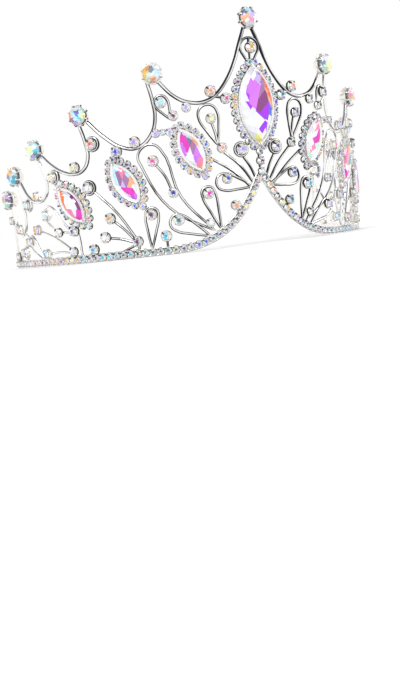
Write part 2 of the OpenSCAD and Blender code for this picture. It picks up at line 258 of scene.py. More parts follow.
# Pointed oval stones at the sides. Columns: steps along, steps up, lean in degrees
SIDE_OVALS: list[Row] = [(27, 38.5, 23.6), (53.4, 29.2, 30), (78, 23.4, 36.5)]
FRONT_OVAL: Row = (0, 53, 0)

# Reach of a teardrop's waist and of the corners of its round end, as shares of its half-width
TEAR_WAIST = 0.62
TEAR_CORNER = 0.72


def smooth(points: list[Point], parts: int) -> list[Point]:
    """A smooth curve through points of the unrolled wall.

    Args:
        points: The points that the curve passes, ends included.
        parts: How many stretches lie between two of them.

    Returns:
        The points of the curve.
    """
    curve: list[Point] = []
    last = len(points) - 1
    for i in range(last):
        a, b, c, d = (Vector(points[k]) for k in (max(i - 1, 0), i, i + 1, min(i + 2, last)))
        for step in range(parts):
            t = step / parts
            bend = (2 * a - 5 * b + 4 * c - d) * t**2 + (3 * b - a - 3 * c + d) * t**3
            spot = (2 * b + (c - a) * t + bend) / 2
            curve.append((spot.x, spot.y))
    return curve + [points[last]]


def length_of(line: list[Vector]) -> float:
    """Length of a line of points."""
    return sum((b - a).length for a, b in zip(line, line[1:]))


def spaced(line: list[Vector], lengths: list[float]) -> list[tuple[Vector, Vector]]:
    """Places along a line.

    Args:
        line: The points of the line.
        lengths: How far along it each place lies, in rising order.

    Returns:
        Each place, and the stretch of the line that it lies on.
    """
    found: list[tuple[Vector, Vector]] = []
    covered = 0.0
    for start, end in zip(line, line[1:]):
        run = end - start
        while len(found) < len(lengths) and lengths[len(found)] <= covered + run.length:
            found.append((start + run * ((lengths[len(found)] - covered) / run.length), run))
        covered += run.length
    return found


def tear(row: Row) -> list[Point]:
    """Points of a teardrop loop.

    Args:
        row: Its row in the table of loops.

    Returns:
        The points in grid steps, from its tip to its round end and back.
    """
    tip, bulb, half, bow = Vector(row[:2]), Vector(row[2:4]), row[4], row[5]
    ahead = (bulb - tip).normalized()
    side = Vector((-ahead.y, ahead.x))
    waist = (tip + bulb) / 2 - bow * side
    spots = [
        tip, waist + TEAR_WAIST * half * side, bulb + half * side, bulb + TEAR_CORNER * half * (ahead + side),
        bulb + half * ahead, bulb + TEAR_CORNER * half * (ahead - side), bulb - half * side,
        waist - TEAR_WAIST * half * side,
    ]
    return [(spot.x, spot.y) for spot in spots]


def stroke(row: Row) -> list[Point]:
    """Points of a single wire.

    Args:
        row: Its row in the table of single wires.

    Returns:
        Its start, middle and end in grid steps.
    """
    start, end, bow = Vector(row[:2]), Vector(row[2:4]), row[4]
    middle = (start + end) / 2 + bow * Vector((start.y - end.y, end.x - start.x))
    return [tuple(start), tuple(middle), tuple(end)]


def ring(radius: float, parts: int, turn: float = 0.0) -> list[Point]:
    """Points of a circle, counterclockwise, that start turned by some degrees."""
    angles = [math.radians(turn) + 2 * math.pi * k / parts for k in range(parts)]
    return [(radius * math.cos(a), radius * math.sin(a)) for a in angles]


def pointed_oval(length: float, width: float, grow: float, parts: int) -> list[Point]:
    """Outline of a pointed oval whose long axis is Y.

    Args:
        length: Its length before it grows.
        width: Its width before it grows.
        grow: How far the outline moves outwards all round.
        parts: Stretches on each of its two sides.

    Returns:
        The points, counterclockwise from its lower tip.
    """
    radius = (length**2 + width**2) / (4 * width)
    inset = radius - width / 2
    reach = math.acos(inset / (radius + grow))
    turns = [-reach + 2 * reach * k / parts for k in range(parts)]
    right = [((radius + grow) * math.cos(t) - inset, (radius + grow) * math.sin(t)) for t in turns]
    return right + [(-x, -y) for x, y in right]


class Bench:
    """The modelling moves that the sub-assemblies share, in millimetres and at the origin."""

    @staticmethod
    def clear() -> None:
        """Leaves edit mode and deselects everything."""
        if bpy.context.object and bpy.context.object.mode != "OBJECT":
            bpy.ops.object.mode_set(mode="OBJECT")
        bpy.ops.object.select_all(action="DESELECT")

    @staticmethod
    def take(*pieces: bpy.types.Object) -> None:
        """Makes pieces the only ones selected, and the first of them active.

        Args:
            pieces: The pieces.
        """
        Bench.clear()
        for piece in pieces:
            piece.select_set(True)
        bpy.context.view_layer.objects.active = pieces[0]

    @staticmethod
    def pick(piece: bpy.types.Object, test: Callable[[Vector, Vector], bool]) -> None:
        """Opens edit mode with only the wanted faces selected.

        Args:
            piece: The piece to edit.
            test: Says from a face's centre and normal whether it is wanted.
        """
        Bench.take(piece)
        bpy.ops.object.mode_set(mode="EDIT")
        bpy.ops.mesh.select_mode(type="FACE")
        bpy.ops.mesh.select_all(action="DESELECT")
        bpy.ops.object.mode_set(mode="OBJECT")
        for face in piece.data.polygons:
            face.select = test(face.center, face.normal)
        bpy.ops.object.mode_set(mode="EDIT")

    @staticmethod
    def mend_normals() -> None:
        """Turns every face of the active piece outwards and leaves edit mode."""
        bpy.ops.object.mode_set(mode="EDIT")
        bpy.ops.mesh.select_all(action="SELECT")
        bpy.ops.mesh.normals_make_consistent(inside=False)
        bpy.ops.object.mode_set(mode="OBJECT")

    @staticmethod
    def stack(rings: list[tuple[list[Point], float]]) -> bpy.types.Object:
        """A closed solid through level rings, each extruded from the one below it.

        Args:
            rings: Outline and height of each ring, from the lowest, with as many points each.

        Returns:
            The solid.
        """
        (outline, height), *rest = rings
        Bench.clear()
        bpy.ops.mesh.primitive_circle_add(vertices=len(outline), radius=1, fill_type="NGON")
        piece = bpy.context.object
        for vertex, (x, y) in zip(piece.data.vertices, outline):
            vertex.co = (x, y, height)
        Bench.pick(piece, lambda centre, normal: True)
        for target, level in rest:
            bpy.ops.mesh.extrude_region_move(TRANSFORM_OT_translate={"value": (0, 0, level - height)})
            bpy.ops.object.mode_set(mode="OBJECT")
            for vertex in piece.data.vertices:
                if vertex.select:
                    spot = vertex.co.xy
                    nearest = min(range(len(outline)), key=lambda k: (Vector(outline[k]) - spot).length)
                    vertex.co.xy = target[nearest]
            bpy.ops.object.mode_set(mode="EDIT")
            outline, height = target, level
        Bench.mend_normals()
        return piece

    @staticmethod
    def top(piece: bpy.types.Object) -> float:
        """Height above which a face belongs to the level top of a piece."""
        return max(vertex.co.z for vertex in piece.data.vertices) - TOP_DEPTH

    @staticmethod
    def pick_top(piece: bpy.types.Object) -> None:
        """Opens edit mode with the level faces at the top selected."""
        level = Bench.top(piece)
        Bench.pick(piece, lambda centre, normal: centre.z > level and normal.z > TOP_NORMAL)

    @staticmethod
    def rim_top(piece: bpy.types.Object, rim: float, sink: float = 0.0) -> None:
        """Leaves a rim round the level top of a piece, and sinks what is inside it.

        Args:
            piece: The piece.
            rim: Width of the rim, or 0 for none.
            sink: How deep the inside sinks.
        """
        Bench.pick_top(piece)
        if rim:
            bpy.ops.mesh.inset(thickness=rim, depth=0)
        if sink:
            bpy.ops.mesh.extrude_region_move(TRANSFORM_OT_translate={"value": (0, 0, -sink)})
        bpy.ops.object.mode_set(mode="OBJECT")

    @staticmethod
    def score_top(piece: bpy.types.Object, lines: list[tuple[Point, Point]]) -> None:
        """Scores the level top of a stone along straight lines.

        Args:
            piece: The stone.
            lines: A point and a direction for each line.
        """
        for (x, y), (run_x, run_y) in lines:
            Bench.pick_top(piece)
            bpy.ops.mesh.bisect(plane_co=(x, y, 0), plane_no=(-run_y, run_x, 0))
            bpy.ops.object.mode_set(mode="OBJECT")

    @staticmethod
    def split_facets(stone: bpy.types.Object, girdle: float) -> None:
        """Splits the sloping facets of a stone into triangles.

        Args:
            stone: The stone.
            girdle: Height that their middles lie above.
        """
        Bench.pick(stone, lambda centre, normal: centre.z > girdle and normal.z < FLAT_NORMAL)
        bpy.ops.mesh.quads_convert_to_tris(quad_method="FIXED")
        bpy.ops.object.mode_set(mode="OBJECT")

    @staticmethod
    def polish(piece: bpy.types.Object, angle: float) -> None:
        """Smooths a piece where its faces meet at less than an angle in degrees."""
        Bench.take(piece)
        bpy.ops.object.shade_smooth_by_angle(angle=math.radians(angle))

    @staticmethod
    def wire(path: list[Vector], radius: float, loop: bool = False) -> bpy.types.Object:
        """A round wire through points in millimetres.

        Args:
            path: Points that the wire passes.
            radius: Its radius.
            loop: Whether it is a loop, which comes to a tip at its first point.

        Returns:
            The wire as a mesh.
        """
        Bench.clear()
        bpy.ops.curve.primitive_bezier_curve_add(enter_editmode=False)
        piece = bpy.context.object
        spline = piece.data.splines[0]
        spline.bezier_points.add(len(path) - len(spline.bezier_points))
        for number, (knot, spot) in enumerate(zip(spline.bezier_points, path)):
            knot.co = spot
            knot.handle_left_type = knot.handle_right_type = "VECTOR" if loop and number == 0 else "AUTO"
        spline.use_cyclic_u = loop
        spline.resolution_u = WIRE_STEPS
        piece.data.dimensions = "3D"
        piece.data.bevel_depth = radius
        piece.data.bevel_resolution = WIRE_ROUNDNESS
        piece.data.use_fill_caps = True
        bpy.ops.object.convert(target="MESH")
        piece = bpy.context.object
        Bench.take(piece)
        bpy.ops.object.shade_smooth()
        return piece

    @staticmethod
    def copy(pattern: bpy.types.Object, place: Matrix) -> bpy.types.Object:
        """A copy with its own mesh, moved to its place in the crown.

        Args:
            pattern: The piece that was modelled once.
            place: Matrix from its millimetres to the crown's metres.

        Returns:
            The copy.
        """
        twin = pattern.copy()
        twin.data = pattern.data.copy()
        twin.data.transform(place)
        bpy.context.collection.objects.link(twin)
        return twin

    @staticmethod
    def discard(*patterns: bpy.types.Object) -> None:
        """Removes patterns that have been copied."""
        for pattern in patterns:
            bpy.data.objects.remove(pattern, do_unlink=True)

    @staticmethod
    def join(parts: list[bpy.types.Object], name: str) -> bpy.types.Object:
        """Joins parts into one piece.

        Args:
            parts: The parts, or a single one.
            name: Name of the piece.

        Returns:
            The piece.
        """
        Bench.take(*parts)
        if len(parts) > 1:
            bpy.ops.object.join()
        piece = bpy.context.object
        piece.name = piece.data.name = name
        return piece

    @staticmethod
    def hand_over(
        piece: bpy.types.Object, finish: bpy.types.Material, slot: str, nodes: list[str]
    ) -> None:
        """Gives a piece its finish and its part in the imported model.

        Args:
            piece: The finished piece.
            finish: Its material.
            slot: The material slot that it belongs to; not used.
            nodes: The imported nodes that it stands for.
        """
        piece.data.materials.clear()
        piece.data.materials.append(finish)
        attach(piece, "root")
        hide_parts(*nodes)
        LOG.info("%s: %d faces", piece.name, len(piece.data.polygons))

    @staticmethod
    def hand_over_metal(piece: bpy.types.Object, finish: bpy.types.Material) -> None:
        """Gives a piece of the soldered frame its finish and its part."""
        Bench.hand_over(piece, finish, "silver_metal", ["frame"])


class NodeSheet:
    """A node tree, written one node at a time."""

    def __init__(self, tree: bpy.types.NodeTree) -> None:
        """Starts on a tree."""
        self.tree = tree

    def feed(self, socket: bpy.types.NodeSocket, value: Value) -> None:
        """Gives a socket its value.

        Args:
            socket: The socket.
            value: A fixed value, or the socket that it comes from.
        """
        if isinstance(value, bpy.types.NodeSocket):
            self.tree.links.new(value, socket)
        else:
            socket.default_value = value

    def add(self, kind: str, **settings: Value | str) -> bpy.types.Node:
        """Adds a node.

        Args:
            kind: The node's type.
            settings: Its properties, and its sockets where no property has that name.

        Returns:
            The node.
        """
        node = self.tree.nodes.new(kind)
        for name, value in settings.items():
            if hasattr(node, name):
                setattr(node, name, value)
            else:
                self.feed(node.inputs[name.replace("_", " ")], value)
        return node

    def calculate(self, kind: str, operation: str, *values: Value) -> bpy.types.NodeSocket:
        """Calculates a number.

        Args:
            kind: The type of the node that does it.
            operation: What it does.
            values: What it does it with, in the order of the node's sockets.

        Returns:
            The number's socket.
        """
        node = self.add(kind, operation=operation)
        for socket, value in zip(node.inputs, values):
            self.feed(socket, value)
        return node.outputs["Value"]

    def span(self, source: Value, start: float, end: float, low: float, high: float) -> bpy.types.NodeSocket:
        """Maps the range from start to end to the one from low to high."""
        ends = {"From_Min": start, "From_Max": end, "To_Min": low, "To_Max": high}
        return self.add("ShaderNodeMapRange", Value=source, **ends).outputs["Result"]

    def mix(self, share: Value, first: Value, second: Value) -> bpy.types.NodeSocket:
        """Mixes two colours.

        Args:
            share: Share of the second one.
            first: The first colour, as three numbers or a socket.
            second: The second colour.

        Returns:
            The mixed colour.
        """
        first, second = ((*end, 1.0) if isinstance(end, tuple) else end for end in (first, second))
        return self.add("ShaderNodeMix", data_type="RGBA", Factor=share, A=first, B=second).outputs["Result"]


class Finish(NodeSheet):
    """A material, written one node at a time round its shader."""

    def __init__(self, name: str) -> None:
        """Starts a material with its shader and its output.

        Args:
            name: The material's name.
        """
        self.material = bpy.data.materials.new(name)
        self.material.use_nodes = True
        super().__init__(self.material.node_tree)
        self.shader = self.tree.nodes["Principled BSDF"]

    def set(self, **values: Value) -> None:
        """Sets the shader's sockets, named with underscores for spaces."""
        for name, value in values.items():
            self.feed(self.shader.inputs[name.replace("_", " ")], value)

    def attribute(self, name: str, output: str) -> bpy.types.NodeSocket:
        """A value that the mesh carries."""
        return self.add("ShaderNodeAttribute", attribute_name=name).outputs[output]

    def noise(self, scale: float, detail: float) -> bpy.types.NodeSocket:
        """Noise over the object's own coordinates, in cells a metre."""
        place = self.add("ShaderNodeTexCoord").outputs["Object"]
        return self.add("ShaderNodeTexNoise", Scale=scale, Detail=detail, Vector=place).outputs["Fac"]

    def spread(self, source: bpy.types.NodeSocket, low: float, high: float) -> bpy.types.NodeSocket:
        """Maps the middle of a noise to the range from low to high."""
        return self.span(source, NOISE_LOW, NOISE_HIGH, low, high)


@dataclass(frozen=True)
class Film:
    """Painted shade on the sides of wires and in the seats of stones, where shade and dark edges show.

    A mesh carries it as one number a corner, and the silver reads it. It reaches furthest round
    the wires in front, and most on their sides that face the wearer's right and down, or up where
    upwards is positive.
    """

    # How far it reaches round a wire, from 0 at its very sides to 1 all round, in front and at the ends
    front_edge: float = 0.92
    end_edge: float = 0.5
    # Middle of what counts as the front, and lengths from it where the front ends and the ends start
    centre: float = -20.0
    front_reach: float = 50.0
    end_reach: float = 66.0
    # How much further it reaches on the favoured sides, and which of up and down is favoured
    bias: float = 0.14
    upwards: float = -1.0
    softness: float = 0.12
    # Strength of the painted shade on the whole wire in front
    core: float = 0.23

    @staticmethod
    def _write(piece: bpy.types.Object, share: Callable[[Vector, Vector], float]) -> None:
        """Writes the painted shade onto a mesh.

        Args:
            piece: The piece.
            share: Gives the painted shade's strength from a vertex's place and normal.
        """
        shares = [min(max(share(v.co, v.normal), 0.0), 1.0) for v in piece.data.vertices]
        layer = piece.data.color_attributes.new(name=PAINTED_SHADE_LAYER, type="FLOAT_COLOR", domain="CORNER")
        for loop, entry in zip(piece.data.loops, layer.data):
            value = shares[loop.vertex_index]
            entry.color = (value, value, value, 1.0)

    def _nearness(self, out: Vector) -> float:
        """How near the front a place is, from 1 to 0, by the wall's direction there."""
        along = abs(math.atan2(out.x, -out.y) * WALL.mean_radius - self.centre)
        return min(max((self.end_reach - along) / (self.end_reach - self.front_reach), 0.0), 1.0)

    def _on_wire(self, spot: Vector, normal: Vector) -> float:
        """The painted shade at one place of a wire that stands in the crown.

        Args:
            spot: The place in millimetres.
            normal: The wire's normal there.

        Returns:
            The painted shade's strength, not yet limited to 0 and 1.
        """
        across, out = WALL.axes_at(spot)
        near = self._nearness(out)
        edge = self.end_edge + (self.front_edge - self.end_edge) * near
        favour = (self.upwards * normal.z - normal.dot(across)) / math.sqrt(2)
        return max((edge + self.bias * favour - abs(normal.dot(out))) / self.softness, self.core * near)

    def on_wires(self, piece: bpy.types.Object) -> None:
        """Paints shade on the sides of wires that stand in the crown, in millimetres."""
        self._write(piece, self._on_wire)

    def on_flat_wires(self, piece: bpy.types.Object, edge: float) -> None:
        """Paints shade on the sides of wires that lie flat, as far round them as edge says, from 0 to 1."""
        self._write(piece, lambda spot, normal: (edge - abs(normal.z)) / self.softness)

    def between(self, piece: bpy.types.Object, low: float, high: float, strength: float = 1.0) -> None:
        """Paints shade on a flat-lying piece between two heights."""
        self._write(piece, lambda spot, normal: strength if low < spot.z < high else 0.0)


@dataclass(frozen=True)
class Silver:
    """White plated wire, polished, with the ripple and the dull spots that soldering leaves, darkened where
    its mesh carries painted shade.
    """

    name: str = "polished_silver_plate"
    bright: Colour = (0.985, 0.975, 0.96)
    dull: Colour = (0.9, 0.89, 0.87)
    mirror: float = 1.0
    specular: float = 0.08
    smoothest: float = 0.03
    roughest: float = 0.1
    # Ripple of the surface and dull spots, in cells a metre, and the ripple's depth in metres
    ripple: float = 300.0
    spots: float = 690.0
    ripple_depth: float = 0.000012
    # Colour of the painted shade, and how much of it noise patches take away, at least and at most
    film: Colour = (0.016, 0.017, 0.021)
    shade_patches: float = 95.0
    least_worn: float = 0.1
    most_worn: float = 0.62
    # Less painted shade towards the back, between two places in metres along a level direction
    back_way: Row = (0.35, 0.94, 0.0)
    back_start: float = -0.038
    back_end: float = -0.02
    back_worn: float = 0.7
    # Strengths of the painted shade, less what the patches take, at which it starts to show and at which it
    # is full
    shade_start: float = -0.1
    shade_full: float = 0.22

    def _unshaded(self, sheet: Finish) -> bpy.types.NodeSocket:
        """How free of painted shade the metal is.

        Args:
            sheet: The material's sheet.

        Returns:
            Its socket, from 0 under full painted shade to 1 for unshaded metal.
        """
        patch_cut = sheet.spread(sheet.noise(self.shade_patches, detail=2.0), self.least_worn, self.most_worn)
        place = sheet.add("ShaderNodeTexCoord").outputs["Object"]
        depth = sheet.calculate("ShaderNodeVectorMath", "DOT_PRODUCT", place, self.back_way)
        back = sheet.span(depth, self.back_start, self.back_end, 0.0, self.back_worn)
        shade_cut = sheet.calculate("ShaderNodeMath", "ADD", patch_cut, back)
        left = sheet.calculate("ShaderNodeMath", "SUBTRACT", sheet.attribute(PAINTED_SHADE_LAYER, "Fac"), shade_cut)
        return sheet.span(left, self.shade_start, self.shade_full, 1.0, 0.0)

    def material(self) -> bpy.types.Material:
        """Builds the material, which reads the painted shade that the mesh carries.

        Returns:
            The material.
        """
        sheet = Finish(self.name)
        ripple = sheet.noise(self.ripple, detail=3.0)
        spots = sheet.spread(sheet.noise(self.spots, detail=2.0), 0.0, 1.0)
        unshaded = self._unshaded(sheet)
        bump = sheet.add("ShaderNodeBump", Strength=1.0, Distance=self.ripple_depth, Height=ripple)
        sheet.set(
            # Where the mesh carries painted shade, the colour falls to the painted shade's dark colour
            Base_Color=sheet.mix(unshaded, self.film, sheet.mix(spots, self.dull, self.bright)),
            Metallic=sheet.calculate("ShaderNodeMath", "MULTIPLY", unshaded, self.mirror),
            Roughness=sheet.spread(ripple, self.smoothest, self.roughest), Normal=bump.outputs["Normal"],
            Coat_Weight=0.0, Specular_IOR_Level=self.specular,
        )
        return sheet.material


@dataclass(frozen=True)
class Crystal:
    """Foiled glass with an iridescent coating: every facet has a colour of its own, the coating's colours
    with painted glints and painted reflections among them.
    """

    name: str = "coated_crystal"
    mirror: float = 0.3
    smoothest: float = 0.0315
    roughest: float = 0.0675
    glass_ior: float = 1.56
    coat_ior: float = 1.6
    coat_roughness: float = 0.02
    # Slow drift of the colours over the stones, in cells a metre, and its range of hue and brightness
    drift: float = 260.0
    hues: Point = (0.485, 0.515)
    levels: Point = (1.05, 0.96)
    saturation: float = 1.08

    def material(self) -> bpy.types.Material:
        """Builds the material, which reads the facet colours.

        Returns:
            The material.
        """
        sheet = Finish(self.name)
        drift = sheet.noise(self.drift, detail=1.0)
        shift = sheet.add(
            "ShaderNodeHueSaturation", Hue=sheet.spread(drift, *self.hues), Saturation=self.saturation,
            Value=sheet.spread(drift, *self.levels), Color=sheet.attribute(FACET_COLOURS, "Color"))
        sheet.set(
            Base_Color=shift.outputs["Color"], Roughness=sheet.spread(drift, self.smoothest, self.roughest),
            Metallic=self.mirror, IOR=self.glass_ior,
            Coat_Weight=1.0, Coat_Roughness=self.coat_roughness, Coat_IOR=self.coat_ior,
        )
        return sheet.material


@dataclass
class Painter:
    """Gives every facet of a stone its colour, by a seeded sequence."""

    seed: int
    # How much lighter a facet may be than its tint, as a share of how much darker it may be
    lighter: float = 0.4
    # A small stone's middle facet, whose colour is deepened, and the chance that each other facet of its
    # table is a painted glint in a pale tint
    middle: float = 0.05
    deepening: float = 1.6
    glint_chance: float = 0.45
    # How much darker a facet may be: the middle, the table round it, the sides, below the girdle
    middle_spread: float = 0.2
    table_spread: float = 0.25
    side_spread: float = 0.15
    side_wash: float = 0.4
    under_spread: float = 0.3
    large_spread: float = 0.16
    # A face whose normal is less upright than this lies below the girdle
    small_side: float = 0.1
    large_side: float = 0.02
    chance: random.Random = field(init=False)

    def __post_init__(self) -> None:
        """Starts the sequence, so that each run gives the same stones."""
        self.chance = random.Random(self.seed)

    def _shade(self, tint: Tint, spread: float, wash: float = 0.0, depth: float = 1.0) -> Colour:
        """A tint, somewhat darker or lighter.

        Args:
            tint: The tint.
            spread: How much darker it may be.
            wash: Share of pearl white mixed in.
            depth: Power that deepens it.

        Returns:
            The colour as linear light.
        """
        factor = 1 + self.chance.uniform(-spread, spread * self.lighter)
        washed = (v**depth + (white - v**depth) * wash for v, white in zip(tint.linear, Tint.PEARL.linear))
        red, green, blue = (min(v * factor, 1.0) for v in washed)
        return red, green, blue

    @staticmethod
    def _faces(piece: bpy.types.Object) -> list[bpy.types.MeshPolygon]:
        """The faces sorted by their middles, because a mesh's own order differs from run to run."""
        return sorted(piece.data.polygons, key=lambda face: [round(v, 3) for v in face.center])

    @staticmethod
    def _write(piece: bpy.types.Object, colours: list[Colour]) -> None:
        """Writes the colours onto a mesh.

        Args:
            piece: The piece.
            colours: One colour a face, in the order of the sorted faces.
        """
        layer = piece.data.color_attributes.new(name=FACET_COLOURS, type="FLOAT_COLOR", domain="CORNER")
        for face, colour in zip(Painter._faces(piece), colours):
            for corner in face.loop_indices:
                layer.data[corner].color = (*colour, 1.0)

    def small(self, piece: bpy.types.Object, heart: Tint, wash: float) -> None:
        """Colours a small stone: a table in its heart's colour with painted glints, and pale sides.

        Args:
            piece: The stone, which lies flat with its table upwards.
            heart: Colour of its heart.
            wash: Share of white in its colours.
        """
        pale = [Tint.PEARL, Tint.PEARL, Tint.PEARL, Tint.ICE, Tint.LEMON, Tint.PEARL, Tint.LILAC, heart]
        level = Bench.top(piece)
        colours = []
        for face in self._faces(piece):
            if face.center.z > level and face.center.xy.length < self.middle:
                colours.append(self._shade(heart, self.middle_spread, depth=self.deepening))
            elif face.center.z > level:
                # Some table facets are painted glints in pale tints
                tint = self.chance.choice(pale) if self.chance.random() < self.glint_chance else heart
                colours.append(self._shade(tint, self.table_spread, wash))
            elif face.normal.z > self.small_side:
                colours.append(self._shade(self.chance.choice(pale), self.side_spread, self.side_wash))
            else:
                colours.append(self._shade(Tint.SLATE, self.under_spread))
        self._write(piece, colours)

    def large(self, piece: bpy.types.Object, size: Point, flashes: Flashes, wash: float = 0.0) -> None:
        """Colours a large stone, whose facets take the colour of the nearest flash.

        Args:
            piece: The stone, which lies flat with its table upwards.
            size: Its width and length.
            flashes: The flashes of colour.
            wash: Share of white in them.
        """
        places = [(*spot, tint) for tint, spots in flashes.items() for spot in spots]
        colours = []
        for face in self._faces(piece):
            across, along = face.center.x / (size[0] / 2), face.center.y / (size[1] / 2)
            nearest = min(places, key=lambda place: (place[0] - across) ** 2 + (place[1] - along) ** 2)
            tint = nearest[2] if face.normal.z > self.large_side else Tint.SLATE
            colours.append(self._shade(tint, self.large_spread, wash))
        self._write(piece, colours)


@dataclass(frozen=True)
class Seat:
    """A place on the wall for something that lies flat in its own millimetres."""

    along: float
    up: float
    tilt: float = 0.0
    out: float = 0.0
    turn: float = 0.0

    @classmethod
    def on_grid(cls, row: Row, side: Side, tilt: float = 0.0, out: float = 0.0) -> Seat:
        """A seat from grid steps on one side.

        Args:
            row: Steps along and up, with any other columns after them.
            side: The side that it is on.
            tilt: Lean in degrees, as it would be on the left side.
            out: Distance in front of the wall's middle surface.

        Returns:
            The seat.
        """
        along, up = WALL.grid(row[0], row[1])
        return cls(side.value * along, up, side.value * tilt, out)

    def raised(self, out: float) -> Seat:
        """The same seat, further out of the wall."""
        return replace(self, out=self.out + out)

    def matrix(self, size: float = 1.0) -> Matrix:
        """Matrix from the flat millimetres to the crown's metres.

        Args:
            size: Scale of what lies on the seat.

        Returns:
            The matrix. Before tilt and turn, its Z points out of the wall and its Y up.
        """
        across, outwards = WALL.axes(WALL.angle(self.along))
        basis = Matrix((across, Vector((0, 0, 1)), outwards)).transposed().to_4x4()
        place = Matrix.Translation(WALL.point(self.along, self.up, self.out) * MM)
        tilt = Matrix.Rotation(-math.radians(self.tilt), 4, "Z")
        turn = Matrix.Rotation(math.radians(self.turn), 4, "Y")
        return place @ basis @ tilt @ Matrix.Scale(size * MM, 4) @ turn


def peak_seats() -> list[Seat]:
    """Seats of the peak stones, turned a little to the front.

    Returns:
        The front one, then the right side's from the front to the end, then the left side's.
    """
    seats = [Seat.on_grid(PEAKS[0], Side.LEFT)]
    seats += [Seat.on_grid(row, side) for side in Side for row in PEAKS[1:]]
    return [replace(seat, turn=-FORWARD_TURN * math.degrees(WALL.angle(seat.along))) for seat in seats]


def numbered(stone: str, count: int) -> list[str]:
    """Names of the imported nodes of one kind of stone, in the order of the seats."""
    sides = [f"{side.word}_{stone}_{number}" for side in Side for number in range(1, count + 1)]
    return [f"front_{stone}", *sides]


@dataclass
class Wirework:
    """The outline, the scrolls and the round loops."""

    outline_radius: float = 0.72
    scroll_radius: float = 0.52
    loop_radius: float = 0.5
    # Rise of the front half of a round loop, as a share of its wire's radius, and how far round it the
    # painted shade reaches
    loop_rise: float = 0.8
    loop_shade: float = 0.8
    loop_parts: int = 28
    loop_sides: int = 8
    # Painted shade on the scrolls and the loops, and on the outline, where it favours the upper sides more
    film: Film = Film()
    outline_shade: Film = Film(bias=0.28, upwards=1.0)

    @staticmethod
    def _on_wall(steps: list[Point], side: Side) -> list[Vector]:
        """Points in millimetres for points in grid steps."""
        places = [WALL.grid(*spot) for spot in steps]
        return [WALL.point(side.value * along, up) for along, up in places]

    @staticmethod
    def _joined(wires: list[bpy.types.Object], film: Film, name: str) -> bpy.types.Object:
        """Joins wires in millimetres into one piece.

        Args:
            wires: The wires.
            film: The painted shade on them.
            name: Name of the piece.

        Returns:
            The piece, in metres.
        """
        piece = Bench.join(wires, name)
        film.on_wires(piece)
        piece.data.transform(Matrix.Scale(MM, 4))
        return piece

    def outline(self) -> bpy.types.Object:
        """The wires between the peaks, and down to the ends of the band."""
        wires = [Bench.wire(self._on_wall(bay, side), self.outline_radius) for side in Side for bay in BAYS]
        return self._joined(wires, self.outline_shade, "outline_wires")

    def scrolls(self) -> bpy.types.Object:
        """Teardrop loops and single wires.

        Returns:
            The piece, in metres.
        """
        paths = [(self._on_wall(tear(row), side), True) for side in Side for row in TEARS]
        paths += [(self._on_wall(stroke(row), side), False) for side in Side for row in STROKES]
        paths.append((self._on_wall(tear(FRONT_TEAR), Side.LEFT), True))
        paths += [(self._on_wall(stroke(row), Side.LEFT), False) for row in FRONT_STROKES]
        wires = [Bench.wire(path, self.scroll_radius, loop) for path, loop in paths]
        return self._joined(wires, self.film, "scroll_wires")

    def loops(self) -> bpy.types.Object:
        """Round loops that hold a stone each.

        Returns:
            The piece, in metres.
        """
        Bench.clear()
        size = WALL.grid(LOOPS[0][2], 0)[0]
        bpy.ops.mesh.primitive_torus_add(
            major_segments=self.loop_parts, minor_segments=self.loop_sides,
            major_radius=size, minor_radius=self.loop_radius)
        pattern = bpy.context.object
        Bench.pick(pattern, lambda centre, normal: centre.z > 0)
        bpy.ops.transform.translate(value=(0, 0, self.loop_radius * self.loop_rise))
        Bench.take(pattern)
        bpy.ops.object.shade_smooth()
        self.film.on_flat_wires(pattern, self.loop_shade)
        copies = [Bench.copy(pattern, Seat.on_grid(row, side).matrix()) for side in Side for row in LOOPS]
        Bench.discard(pattern)
        return Bench.join(copies, "round_loops")

    def build(self, finish: bpy.types.Material) -> None:
        """Builds the three pieces and dresses them."""
        for piece in (self.outline(), self.scrolls(), self.loops()):
            Bench.hand_over_metal(piece, finish)


